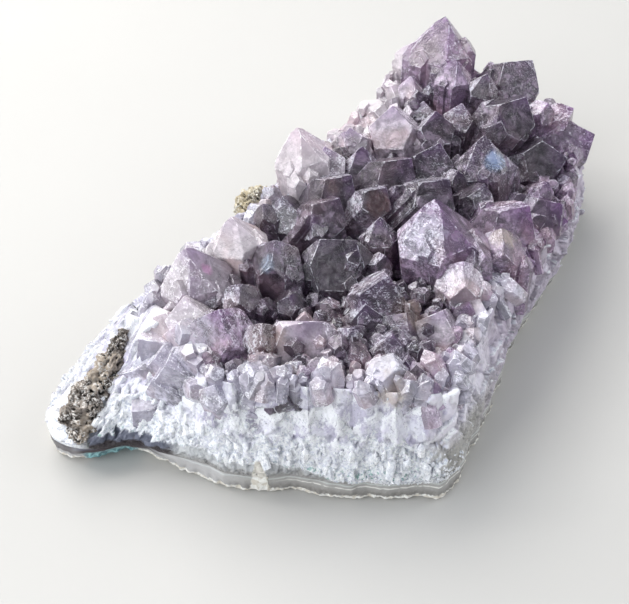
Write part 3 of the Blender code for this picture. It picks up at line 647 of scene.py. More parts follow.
def all_crystals(slab):
    """Every crystal's shapes, sorted by tone, and the larger ones' tips and radii."""
    groups = {tone: [] for tone in TONES}
    standing = []

    def grow(tone, tip, axis, radius, spin, taper, seed, *rest):
        groups[tone] += crystal(tip, axis, radius, spin, taper, SEED + seed, *rest)
        standing.append((tip, axis, radius))

    def grow_picked(rows, first_seed, shape_of):
        for number, (pick, radius, lean, toward, spin, end, tone) in enumerate(rows):
            tip, axis = seen_at(*pick), leaning(math.radians(lean), math.radians(toward))
            grow(tone, tip, axis, radius, math.radians(spin), LARGE_TAPER, first_seed + number,
                 END_SHAPES[end], *shape_of(tip, axis, radius))

    grow_picked(CRYSTALS.values(), SEEDS["placed"],
                lambda tip, axis, radius: (round(radius * STEPS_PER_MM),))
    draw = random.Random(SEED + SEEDS["tones"])
    for number, (tip, axis, radius, spin) in enumerate(small_crystals(slab)):
        tone = tone_at(slab, tip[0], tip[1], draw)
        grow(tone, tip, axis, radius, spin, SMALL_TAPER, SEEDS["fill"] + number, SMALL_END,
             draw.randint(0, 2))
    for number, (*pick, radius) in enumerate(EXTRA_CRYSTALS):
        tip = seen_at(*pick)
        lean = math.radians(draw.uniform(5, 30))
        axis = leaning(lean, away_from_rim(slab, tip[0], tip[1], 1.0, draw))
        tone = tone_at(slab, tip[0], tip[1], draw)
        grow(tone, tip, axis, radius, draw.uniform(0, math.pi), SMALL_TAPER, SEEDS["extra"] + number,
             SMALL_END, 1)
    grow_picked(WALL_CRYSTALS, SEEDS["half sunk"],
                lambda tip, axis, radius: (4, EDGE_BEVEL, tip[2] - 1.4 * WALL_DEPTH * axis.z))
    for number, (tip, axis, radius) in enumerate(more_wall_crystals(slab, draw, standing)):
        grow("milky", tip, axis, radius, draw.uniform(0, math.pi), SMALL_TAPER, SEEDS["walls"] + number,
             SMALL_END, 1, EDGE_BEVEL, tip[2] - WALL_DEPTH * axis.z)
    crust = crust_heights(slab)
    for number in range(DRUSY_TRIES):
        x, y = draw.uniform(*FILL_AREA[0]), draw.uniform(*FILL_AREA[1])
        radius = draw.uniform(*DRUSY_RADIUS)
        rise = draw.uniform(*DRUSY_RISE)
        lean = math.radians(draw.uniform(0, 45))
        toward = draw.uniform(-math.pi, math.pi)
        if not inside(slab.rim, x, y):
            continue
        away = nearest_rim(slab, x, y)[1]
        rise *= min(1.0, 0.15 + away / DRUSY_BELT) * min(1.0, radius / DRUSY_RADIUS[1] + 0.3)
        height = crust(x, y) + rise
        if any(within_prism(Vector((x, y, height)), *other) for other in standing):
            continue
        tone = tone_at(slab, x, y, draw)
        groups[tone] += crystal((x, y, height), leaning(lean, toward), radius, draw.uniform(0, math.pi),
                                DRUSY_TAPER, SEED + SEEDS["tiny"] + number, SMALL_END, 0, DRUSY_BEVEL,
                                height - DRUSY_ROOT - rise)
    return groups, [(tip, radius) for tip, _, radius in standing]


def more_wall_crystals(slab, draw, standing):
    """Tip, axis and radius of the smaller crystals that break the walls' surface."""
    low, high = slab.wall(WALL_BAND[0]), slab.wall(1.0)
    found = []
    for _ in range(WALL_TRIES):
        index = draw.randrange(len(low))
        share = draw.random()
        radius = WALL_RADIUS[0] + (WALL_RADIUS[1] - WALL_RADIUS[0]) * draw.random() * (0.4 + 0.6 * share)
        rise = Vector(high[index] - low[index]).normalized()
        out = Vector(slab.out[index])
        out = (out - rise * (out @ rise)).normalized()
        proud = 0.3 if out.x > 0.4 else 1.0
        tip = Vector(low[index] * (1 - share) + high[index] * share) + out * draw.uniform(0.4, 1.3) * proud
        sideways = rise.cross(out) * draw.uniform(-0.3, 0.3)
        lean = (radius + 0.8) / WALL_DEPTH + draw.uniform(0.0, 0.4) * share
        axis = (rise + out * lean + sideways).normalized()
        if any((tip - Vector(other)).length < WALL_SPACING * (radius + wide)
               for other, _, wide in standing + found):
            continue
        if in_box(tip, -radius) and not on_agate(tip):
            found.append((tip, axis, radius))
    return found


def within_prism(point, tip, axis, radius):
    """Whether the point is inside a crystal of that tip, axis and radius."""
    offset = point - Vector(tip)
    along = offset @ axis
    across = (offset - axis * along).length
    return along < 0 and across < min(radius * 0.87, -along * math.tan(PYRAMID_ANGLE) + 0.2)


def united(name, shapes):
    """One closed mesh of all the shapes grown together."""
    holder = bpy.data.collections.new(name + " shapes")
    bpy.context.scene.collection.children.link(holder)
    for number, shape in enumerate(shapes):
        mesh = bpy.data.meshes.new(f"{name} {number}")
        shape.to_mesh(mesh)
        shape.free()
        for _ in range(2 * LEVELS):
            mesh.materials.append(None)
        holder.objects.link(bpy.data.objects.new(f"{name} {number}", mesh))
    first = holder.objects[0]
    holder.objects.unlink(first)
    bpy.context.scene.collection.objects.link(first)
    step = first.modifiers.new("grown together", "BOOLEAN")
    step.operation = "UNION"
    step.operand_type = "COLLECTION"
    step.collection = holder
    step.solver = "MANIFOLD"
    graph = bpy.context.evaluated_depsgraph_get()
    mesh = bpy.data.meshes.new_from_object(first.evaluated_get(graph))
    for old in list(holder.objects) + [first]:
        bpy.data.objects.remove(old, do_unlink=True)
    bpy.data.collections.remove(holder)
    kinds = np.zeros(len(mesh.polygons), np.int32)
    mesh.polygons.foreach_get("material_index", kinds)
    mesh.polygons.foreach_set("material_index", np.zeros_like(kinds))
    normals = np.zeros(3 * len(mesh.polygons), np.float32)
    mesh.polygons.foreach_get("normal", normals)
    facing = np.round(normals.reshape(-1, 3) * FACET_STEPS) @ np.array([12.9898, 78.233, 37.719])
    set_attribute(mesh, "level", (kinds // 2) / (LEVELS - 1), "FACE")
    set_attribute(mesh, "worn", kinds % 2, "FACE")
    set_attribute(mesh, "facet", np.mod(np.sin(facing + kinds // 2) * 4375.85, 1.0), "FACE")
    return mesh


def mark_tips(mesh, tips):
    """Stores how near each point is to the tip of the crystal it belongs to, from 0 to 1 at the tip."""
    tree = kdtree.KDTree(len(tips))
    for number, (tip, _) in enumerate(tips):
        tree.insert(tip, number)
    tree.balance()
    values = []
    for point in mesh.vertices:
        _, number, away = tree.find(point.co)
        values.append(max(0.0, 1 - away / (tips[number][1] * TIP_REACH)))
    set_attribute(mesh, "tip", values)


# The walls of quartz, agate and rock.

def along_loop(loop):
    """Distance travelled along a closed loop at each point, and its whole length."""
    steps = np.linalg.norm(np.roll(loop, -1, axis=0) - loop, axis=1)
    return np.concatenate([[0], np.cumsum(steps)[:-1]]), float(np.sum(steps))


def grid_normals(grid):
    """Unit normals of a closed grid of points, rows upwards and columns anticlockwise."""
    across = np.roll(grid, -1, axis=1) - np.roll(grid, 1, axis=1)
    up = np.gradient(grid, axis=0)
    normal = np.cross(across, up)
    return normal / np.maximum(np.linalg.norm(normal, axis=2, keepdims=True), 1e-9)


class Cells:
    """Random cells over an unrolled wall, each with a tilted face, as in a broken mass of crystals."""

    def __init__(self, length, seed, height, wide, tall, lift):
        draw = np.random.default_rng(seed)
        self.wide, self.tall = wide, tall
        columns, rows = max(3, round(length / wide)), max(1, round(height / tall))
        s, h = np.meshgrid(np.arange(columns) * length / columns, (np.arange(rows) + 0.5) * tall)
        s = (s + (np.arange(rows)[:, None] % 2) * 0.5 * wide).ravel()
        s = s + draw.uniform(-CELL_JITTER, CELL_JITTER, s.size) * wide
        h = h.ravel() + draw.uniform(-CELL_JITTER, CELL_JITTER, h.size) * tall
        self.rise = draw.uniform(-1, 1, s.size)
        self.tilt = np.stack([draw.uniform(-1, 1, s.size), draw.uniform(lift, 1, s.size)], axis=1)
        self.shade = draw.random(s.size)
        self.tree = kdtree.KDTree(3 * s.size)
        for shift in (-length, 0, length):
            for i in range(s.size):
                self.tree.insert(((s[i] + shift) / wide, h[i] / tall, 0), i)
        self.tree.balance()

    def read(self, s, h):
        """For each place: its cell's number, its offset from the cell's middle, and the border's distance."""
        number = np.zeros(s.size, int)
        offset = np.zeros((s.size, 2))
        border = np.zeros(s.size)
        for i, (a, b) in enumerate(zip(s.ravel() / self.wide, h.ravel() / self.tall)):
            (middle, own, near), (other, _, far) = self.tree.find_n((a, b, 0), 2)
            number[i] = own
            offset[i] = (a - middle[0], b - middle[1])
            border[i] = (far * far - near * near) / (2 * max((other - middle).length, 1e-6))
        return number, offset, border * min(self.wide, self.tall)

    def relief(self, s, h, rise, tilt, groove):
        """For each place: its relief, its distance to its cell's border, the cell's shade, and its crest."""
        number, offset, border = self.read(s, h)
        face = self.rise[number] * rise + np.sum(self.tilt[number] * offset, axis=1) * tilt
        relief = np.minimum(face, face - groove + border * GROOVE_SLOPE)
        return [part.reshape(s.shape) for part in (relief, border, self.shade[number], offset[:, 1])]


def blocks(points, size, rise, tilt, groove):
    """What Cells.relief gives, for blocks that fill space: they aren't drawn out where a wall is narrow."""
    found = []
    for point in points.reshape(-1, 3) / size:
        point = Vector(point)
        (near, far, *_), (middle, other, *_) = noise.voronoi(point)
        own = noise.cell_vector(middle)
        offset = point - middle
        border = (far * far - near * near) / (2 * max((other - middle).length, 1e-6)) * size
        face = (own.x - 0.5) * 2 * rise + (own - Vector((0.5, 0.5, 0.3))) @ offset * 2 * tilt
        found.append((min(face, face - groove + border * GROOVE_SLOPE), border, own.z, offset.z))
    return np.array(found).T.reshape(4, *points.shape[:-1])


def fbm(points, size, seed, octaves=3):
    """Soft noise from -1 to 1 at each point, with features of about `size` millimetres."""
    shift = Vector((seed * 17.3, seed * 5.1, seed * 9.7))
    flat = points.reshape(-1, 3) / size
    values = np.array([noise.fractal(Vector(p) + shift, 0.6, 2.0, octaves) for p in flat])
    return values.reshape(points.shape[:-1])


def step_between(values, low, high):
    t = np.clip((values - low) / (high - low), 0, 1)
    return t * t * (3 - 2 * t)


def quartz_wall(slab):
    """The milky quartz: columns at the top of the wall, smaller ones below, sugary grains at the foot, and
    blocks in place of all three where the columns would crowd."""
    edge = slab.wall(0.0)
    edge[:, 2] = np.maximum(edge[:, 2], AGATE_THICKNESS + GAP + BROKEN_EDGE)
    base = at_height(edge, AGATE_THICKNESS + 0.1)
    knots = [base, edge, slab.wall(0.35), slab.wall(0.7), slab.wall(1.0)]
    rises = np.array([np.mean(np.linalg.norm(b - a, axis=1)) for a, b in zip(knots, knots[1:])])
    at = np.concatenate([[0], np.cumsum(rises)]) / np.sum(rises)
    rows = []
    for share in np.linspace(0, 1, WALL_ROWS):
        k = min(int(np.searchsorted(at, share, side="right")) - 1, 3)
        t = (share - at[k]) / (at[k + 1] - at[k])
        rows.append(knots[k] * (1 - t) + knots[k + 1] * t)
    grid = np.array(rows)
    s, whole = along_loop(grid[WALL_ROWS // 2])
    heights = np.concatenate([np.zeros((1, grid.shape[1])),
                              np.cumsum(np.linalg.norm(np.diff(grid, axis=0), axis=2), axis=0)])
    share = heights / heights[-1]
    s = np.broadcast_to(s, heights.shape)
    waver = fbm(grid, 7.0, 1)
    warped = s + fbm(grid, 5.0, 2) * 1.4
    large, middle, grain = (
        Cells(whole, *cells).relief(places, heights, *form)
        for places, (cells, form) in ((warped, LARGE_CELLS), (warped, MIDDLE_CELLS), (s, GRAIN_CELLS)))
    level = share + waver * 0.2
    of_large = step_between(level, *WALL_BLEND[1])
    of_grain = 1 - step_between(level, *WALL_BLEND[0])
    of_middle = np.clip(1 - of_large - of_grain, 0, 1)
    relief = of_large * large[0] + of_middle * middle[0] + of_grain * grain[0] + fbm(grid, 0.9, 3, 2) * 0.2
    spacing = np.linalg.norm(np.roll(grid, -1, axis=1) - grid, axis=2)
    spacing = np.mean([np.roll(spacing, k, axis=1) for k in range(-2 * FINE, 2 * FINE)], axis=0)
    crowded = step_between(spacing / np.mean(spacing), *CROWDED)
    block = blocks(grid + fbm(grid, 3.0, 4)[:, :, None] * 0.8, *BLOCKS)
    relief = relief * (1 - crowded) + block[0] * crowded
    fade = step_between(share, 0.0, 0.05) * (1 - step_between(share, 0.97, 1.0) * 0.6)
    grid = grid + grid_normals(grid) * (relief * fade)[:, :, None]
    kinds = [crowded > 0.5, of_large > 0.5, of_grain > 0.5]
    border, shade, crest = (np.select(kinds, [block[k], large[k], grain[k]], middle[k]) for k in (1, 2, 3))
    loops = list(grid)
    for part, depth in BED_LOOPS:
        loops.append(slab.inner(part, slab.rim[:, 2] - depth))
    mesh = loft("quartz wall", loops)
    more = len(loops) - WALL_ROWS
    count = grid.shape[1]
    for name, values, beyond in (("share", share, 1.0), ("grain", of_grain, 0.0), ("border", border, 1.0),
                                 ("shade", shade, 0.5), ("crest", crest, 0.0)):
        set_attribute(mesh, name, np.concatenate([values.ravel(), np.full(more * count + 2, beyond)]))
    return mesh, grid


def agate_band(slab):
    """The agate: smooth banded sides under the quartz, with a ragged rind along the bottom."""
    spots = np.linspace(0, len(AGATE_SIDE) - 1, AGATE_ROWS)
    rows = []
    for share, shift, height, curl in read_between(spots, range(len(AGATE_SIDE)), zip(*AGATE_SIDE)):
        loop = slab.foot * (1 - share) + slab.wall_top * share + slab.out * shift
        loop[:, 2] = AGATE_THICKNESS * height + slab.curl * curl
        rows.append(loop)
    grid = np.array(rows)
    level = np.interp(spots, range(len(AGATE_SIDE)), [row[2] for row in AGATE_SIDE])
    level = np.broadcast_to(level[:, None], grid.shape[:2])
    ragged = fbm(grid * (1, 1, 0.3), 1.6, 5) * (1 - step_between(level, 0.3, 0.55)) * 0.42
    wavy = fbm(grid * (1, 1, 0.4), 6.0, 6) * 0.35 + fbm(grid, 0.8, 7, 2) * 0.06
    side = step_between(level, 0.0, 0.06)
    grid = grid + slab.out[None] * ((ragged + wavy) * side)[:, :, None]
    lift = np.clip(fbm(grid * (1, 1, 0), 2.2, 8), 0, 1) * 0.4 * step_between(level, 0.0, 0.1)
    grid[:, :, 2] += lift * (1 - step_between(level, 0.2, 0.5))
    mesh = loft("agate band", list(grid), 0.0)
    bands = (grid[:, :, 2] - slab.curl[None]) / AGATE_THICKNESS
    set_attribute(mesh, "band", np.concatenate([bands.ravel(), [0.0, 1.0]]))
    return mesh


def rock_patch(name, line, seed):
    """A pitted patch of host rock along its middle line, finer than the part's."""
    around, along = ROCK_POINTS
    draw = random.Random(seed)
    coarse_steps, sides = ROCK_SWELLS
    rows = np.array(line, float)
    shares = np.linspace(0, len(rows) - 1, along)
    path = read_between(shares, range(len(rows)), rows.T)
    swell = np.array([[1 + draw.uniform(-ROCK_LUMPS, ROCK_LUMPS) for _ in range(sides)]
                      for _ in range(coarse_steps + 1)])
    loops = []
    for i, (x, y, z, wide, deep) in enumerate(path):
        ahead = path[min(i + 1, along - 1)][:3] - path[max(i - 1, 0)][:3]
        across = np.cross(ahead, (0, 0, 1))
        across /= np.linalg.norm(across)
        above = np.cross(across, ahead)
        above /= np.linalg.norm(above)
        part = i / (along - 1)
        end = math.sin(math.pi * (0.03 + 0.94 * part)) ** 0.5
        low = part * coarse_steps
        row = min(int(low), coarse_steps - 1)
        local = swell[row] * (1 - low + row) + swell[row + 1] * (low - row)
        turns = np.arange(around) / around
        size = np.interp(turns * sides, np.arange(sides + 1), np.append(local, local[0]))
        angle = 2 * math.pi * turns
        loops.append(np.array([x, y, z]) + np.outer(wide * end * size * np.cos(angle), across)
                     + np.outer(deep * end * size * np.sin(angle), above))
    grid = np.array(loops)
    normals = grid_normals(grid)
    centre = grid.mean(axis=1, keepdims=True)
    outward_sign = np.sign(np.mean(np.sum(normals * (grid - centre), axis=2)))
    normals *= outward_sign
    rough = fbm(grid, 1.8, seed, 5) * 0.9
    pits = np.clip(fbm(grid, 0.8, seed + 1, 3) - 0.18, 0, 1) * 1.5
    grid = grid + normals * (rough - pits)[:, :, None]
    mesh = loft(name, list(grid))
    shape = bmesh.new()
    shape.from_mesh(mesh)
    bmesh.ops.recalc_face_normals(shape, faces=shape.faces)
    shape.to_mesh(mesh)
    shape.free()
    set_attribute(mesh, "pit", np.concatenate([pits.ravel(), [0.0, 0.0]]))
    return mesh


def any_way(draw):
    """A vector in any direction."""
    return Vector([draw.gauss(0, 1) for _ in range(3)])


def grain_shapes():
    """A few crumbs of quartz, as points and triangles."""
    shapes = []
    for seed in range(6):
        draw = random.Random(seed)
        crumb = bmesh.new()
        for _ in range(10):
            crumb.verts.new(any_way(draw).normalized() * draw.uniform(0.75, 1.1))
        bmesh.ops.convex_hull(crumb, input=crumb.verts)
        loose = [v for v in crumb.verts if not v.link_faces]
        bmesh.ops.delete(crumb, geom=loose, context="VERTS")
        bmesh.ops.recalc_face_normals(crumb, faces=crumb.faces)
        crumb.verts.index_update()
        shapes.append((np.array([v.co for v in crumb.verts]),
                       np.array([[v.index for v in face.verts] for face in crumb.faces])))
        crumb.free()
    return shapes


def gathered(name, shapes):
    """One mesh of many small separate shapes, each given as its points and faces."""
    points, faces, start = [], [], 0
    for corners, sides in shapes:
        points.append(corners)
        faces += [tuple(k + start for k in side) for side in sides]
        start += len(corners)
    return mesh_from(name, np.vstack(points), faces)


def crumbs(places, seed):
    """Crumbs at places (point, normal, size), each half sunk into the surface."""
    shapes = grain_shapes()
    draw = random.Random(seed)
    for point, normal, size in places:
        corners, sides = shapes[draw.randrange(len(shapes))]
        turn = np.array(Matrix.Rotation(draw.uniform(0, 6.28), 3, any_way(draw)))
        stretch = np.array([draw.uniform(0.6, 1.1), draw.uniform(0.6, 1.1), draw.uniform(0.8, 1.6)])
        placed = (corners * stretch) @ turn.T * size + point + normal * size * 0.15
        if in_box(placed, LOOSE):
            yield placed, sides


def wall_grains(grid, tries, seed):
    """Places for crumbs over the wall: crowded along its foot, and rarer higher up."""
    draw = random.Random(seed)
    normals = grid_normals(grid)
    rows, count = grid.shape[:2]
    found = []
    for _ in range(tries):
        share = draw.random() ** 1.7
        column = draw.randrange(count)
        row = min(int(share * rows), rows - 1)
        point = grid[row][column]
        thick = 1 - step_between(share + 0.2 * noise.noise(Vector(point) / 5.0), 0.25, 0.6)
        bare_side = normals[row][column][0] > 0.4 and point[1] > -28
        if draw.random() > 0.08 + 0.92 * thick or on_agate(point) or bare_side:
            continue
        found.append((point, normals[row][column], draw.uniform(0.16, 0.42)))
    return found


def teeth(grid, tries, seed):
    """Small pointed crystals, most of them upright, that stand along the walls."""
    draw = random.Random(seed)
    normals = grid_normals(grid)
    rows, count = grid.shape[:2]
    turns = np.radians(60 * np.arange(6))
    ring = np.stack([np.cos(turns), np.sin(turns), np.zeros(6)], axis=1)
    sides = [(k, (k + 1) % 6, 6 + (k + 1) % 6, 6 + k) for k in range(6)]
    ends = [(6 + k, 6 + (k + 1) % 6, 12) for k in range(6)] + [(5, 4, 3, 2, 1, 0)]
    for _ in range(tries):
        share = draw.uniform(*COMB_BAND)
        row, column = int(share * rows), draw.randrange(count)
        point, normal = grid[row][column], Vector(normals[row][column])
        crowd = noise.noise(Vector(point) / 4.5)
        at_side = point[0] > 5 and point[1] > -31
        if at_side or on_agate(point) or draw.random() > 0.45 + 1.2 * crowd - max(0.0, share - 0.35) * 2.0:
            continue
        radius = COMB_RADIUS[0] + (COMB_RADIUS[1] - COMB_RADIUS[0]) * draw.random() ** 2
        length = radius * draw.uniform(3.5, 6.0)
        rise = Vector(grid[row + 1][column] - grid[row - 1][column]).normalized()
        sideways = rise.cross(normal) * draw.uniform(-0.25, 0.25)
        axis = (rise + normal * draw.uniform(0.0, 0.3) + sideways).normalized()
        sunk = Vector(point) + normal * radius * draw.uniform(-0.4, 0.3)
        place = axis_frame(sunk, axis, draw.uniform(0, 1))
        flat = ring * radius
        shape = np.vstack([flat * 0.8 - (0, 0, length * 0.6), flat + (0, 0, length * 0.4 - 1.5 * radius),
                           [(0.2 * radius * draw.uniform(-1, 1), 0, length * 0.4)]])
        shape = shape @ np.array(place.to_3x3()).T + np.array(place.translation)
        if in_box(shape, LOOSE) and shape[:, 2].min() >= TEETH_ABOVE:
            yield shape, sides + ends


# Materials.

class Surface:
    """A material made of nodes that read the place on the object, in metres."""

    def __init__(self, name):
        self.material = bpy.data.materials.new(name)
        self.material.use_nodes = True
        self.tree = self.material.node_tree
        self.shader = self.tree.nodes["Principled BSDF"]
        self.output = self.tree.nodes["Material Output"]
        self.place = self.add("ShaderNodeTexCoord").outputs["Object"]

    def add(self, kind, inputs=(), **settings):
        made = self.tree.nodes.new(kind)
        for key, value in settings.items():
            setattr(made, key, value)
        for key, value in dict(inputs).items():
            self.put(made.inputs[key], value)
        return made

    def put(self, socket, value):
        if isinstance(value, bpy.types.NodeSocket):
            self.tree.links.new(value, socket)
        elif isinstance(value, tuple) and len(value) == 3 and socket.type == "RGBA":
            socket.default_value = (*value, 1.0)
        else:
            socket.default_value = value

    def set(self, **values):
        for key, value in values.items():
            self.put(self.shader.inputs[key.replace("_", " ")], value)

    def vector(self, operation, a, b=(0, 0, 0), output=0):
        return self.add("ShaderNodeVectorMath", {0: a, 1: b}, operation=operation).outputs[output]

    def stretched(self, x, y, z):
        return self.vector("MULTIPLY", self.place, (x, y, z))

    def noise(self, size, detail=2.0, rough=0.5, place=None, distortion=0.0):
        """Noise from 0 to 1 with features of `size` millimetres."""
        return self.add("ShaderNodeTexNoise", {"Vector": place or self.place, "Scale": 1000 / size,
                                               "Detail": detail, "Roughness": rough,
                                               "Distortion": distortion}).outputs["Fac"]

    def cells(self, size, output="Distance", place=None):
        """Random cells of about `size` millimetres: the distance from each one's middle, or its colour."""
        return self.add("ShaderNodeTexVoronoi", {"Vector": place or self.place,
                                                 "Scale": 1000 / size}).outputs[output]

    def attribute(self, name):
        return self.add("ShaderNodeAttribute", attribute_name=name).outputs["Fac"]

    def between(self, value, low, high, to_low=0.0, to_high=1.0):
        return self.add("ShaderNodeMapRange", {"Value": value, "From Min": low, "From Max": high,
                                               "To Min": to_low, "To Max": to_high},
                        interpolation_type="SMOOTHSTEP").outputs[0]

    def math(self, operation, a, b=0.0):
        return self.add("ShaderNodeMath", {0: a, 1: b}, operation=operation).outputs[0]

    def times(self, a, b):
        return self.math("MULTIPLY", a, b)

    def plus(self, a, b):
        return self.math("ADD", a, b)

    def less(self, a, b):
        return self.math("SUBTRACT", a, b)

    def most(self, a, b):
        return self.math("MAXIMUM", a, b)

    def mix(self, share, a, b):
        made = self.add("ShaderNodeMix", data_type="RGBA")
        self.put(made.inputs["Factor"], share)
        self.put(made.inputs[6], a)
        self.put(made.inputs[7], b)
        return made.outputs[2]

    def paint(self, share, tint):
        """Lays a tint over the colour so far, as thickly as `share` says."""
        self.colour = self.mix(share, self.colour, tint)

    def bump(self, height, distance, strength, normal=None):
        made = self.add("ShaderNodeBump", {"Height": height, "Distance": distance * MM,
                                           "Strength": strength})
        if normal:
            self.put(made.inputs["Normal"], normal)
        return made.outputs[0]

    def stains_and_glints(self):
        """Lays the local stains over the colour, with the painted glints, sky reflections and lit face among
        them, their borders ragged.
        """
        ragged = self.noise(2.2, 4, 0.7)
        for pick, reach, tint, strength in STAINS_AND_GLINTS:
            middle = tuple((Vector(seen_at(*pick)) - CENTRE) * MM)
            away = self.vector("DISTANCE", self.place, middle, "Value")
            away = self.plus(away, self.times(ragged, reach * MM))
            self.paint(self.between(away, 1.5 * reach * MM, 1.0 * reach * MM, 0.0, strength), tint)

    def facing(self, way):
        """How far the face looks in that direction, from -1 to 1."""
        normal = self.add("ShaderNodeNewGeometry").outputs["Normal"]
        return self.vector("DOT_PRODUCT", normal, way, "Value")

    def paint_shade_left(self, pattern):
        """Paints shade on the left side, where the window light is strongest: a grey-lilac tint over the
        colour.
        """
        tint = self.mix(self.between(pattern, 0.4, 0.6), (0.28, 0.26, 0.34), (0.50, 0.48, 0.56))
        self.paint(self.between(self.facing((-0.85, 0.15, 0.5)), 0.55, 0.9, 0.0, 0.85), tint)

    def faceted(self, size, tilt, place=None):
        """Normals that each grain of about `size` millimetres turns its own way, by up to half of `tilt`."""
        own = self.vector("SUBTRACT", self.cells(size, "Color", place), (0.5, 0.5, 0.5))
        scaled = self.add("ShaderNodeVectorMath", {0: own, "Scale": tilt}, operation="SCALE").outputs[0]
        normal = self.add("ShaderNodeNewGeometry").outputs["Normal"]
        return self.vector("NORMALIZE", self.vector("ADD", normal, scaled))

    def seam(self):
        """The cream seam that runs up the front, through the agate and the foot of the wall."""
        height = self.coordinate("Z")
        away = self.math("ABSOLUTE", self.less(self.coordinate("X"), SEAM_X))
        away = self.plus(away, self.times(self.noise(1.5, 3), 0.9))
        wide = self.between(height, 0.0, 9.5, 2.1, 1.3)
        across = self.between(self.less(away, wide), 0.15, -0.15)
        return self.times(across, self.between(height, 9.8, 8.8))

    def coordinate(self, axis):
        """The place along one axis, in millimetres."""
        part = self.add("ShaderNodeSeparateXYZ", {0: self.place}).outputs[axis]
        return self.times(part, 1000.0)


SEAM_X = 7.3
WINDOW_SIDE = (-0.70, -0.30, 0.65)    # faces turned to this side, toward the window light, take a painted pale sheen

# Local colours on the crystals and walls, stains with painted glints, sky reflections and a lit face among
# them: pixel and height, reach, colour, strength.
STAINS_AND_GLINTS = (
    # Paler left face of the large crystal at the left: partly its own colour, partly painted light.
    ((163, 278, 28), 7.5, (0.78, 0.70, 0.74), 0.8),
    # Painted highlight: a magenta glint.
    ((207, 268, 29), 1.7, (0.72, 0.30, 0.60), 0.6),
    ((195, 332, 27), 5.0, (0.68, 0.69, 0.78), 0.6),
    # Painted reflection: a blue-white sheen of the sky on the great crystal's left face.
    ((424, 238, 33), 6.0, (0.50, 0.52, 0.66), 0.45),
    # Painted reflection: a blue sheen of the sky.
    ((494, 162, 33), 3.0, (0.36, 0.50, 0.82), 0.8),
    # Painted reflection: a blue-white sparkle.
    ((262, 262, 30), 3.0, (0.62, 0.72, 0.92), 0.75),
    ((503, 238, 29), 3.4, (0.78, 0.64, 0.52), 0.7),
    # Painted highlight: a white glint.
    ((450, 213, 33), 1.2, (0.97, 0.92, 0.97), 0.9),
    ((264, 338, 28), 5.0, (0.36, 0.24, 0.20), 0.6),
    ((290, 374, 26), 3.5, (0.40, 0.28, 0.22), 0.5),
    ((412, 314, 28), 4.5, (0.38, 0.26, 0.20), 0.6),
    ((378, 203, 31), 3.6, (0.20, 0.09, 0.08), 0.7),
    ((331, 187, 31), 3.2, (0.22, 0.13, 0.12), 0.6),
    ((393, 388, 25.5), 4.2, (0.64, 0.52, 0.42), 0.6),
    ((117, 392, 15), 2.2, (0.40, 0.41, 0.46), 0.8),
)


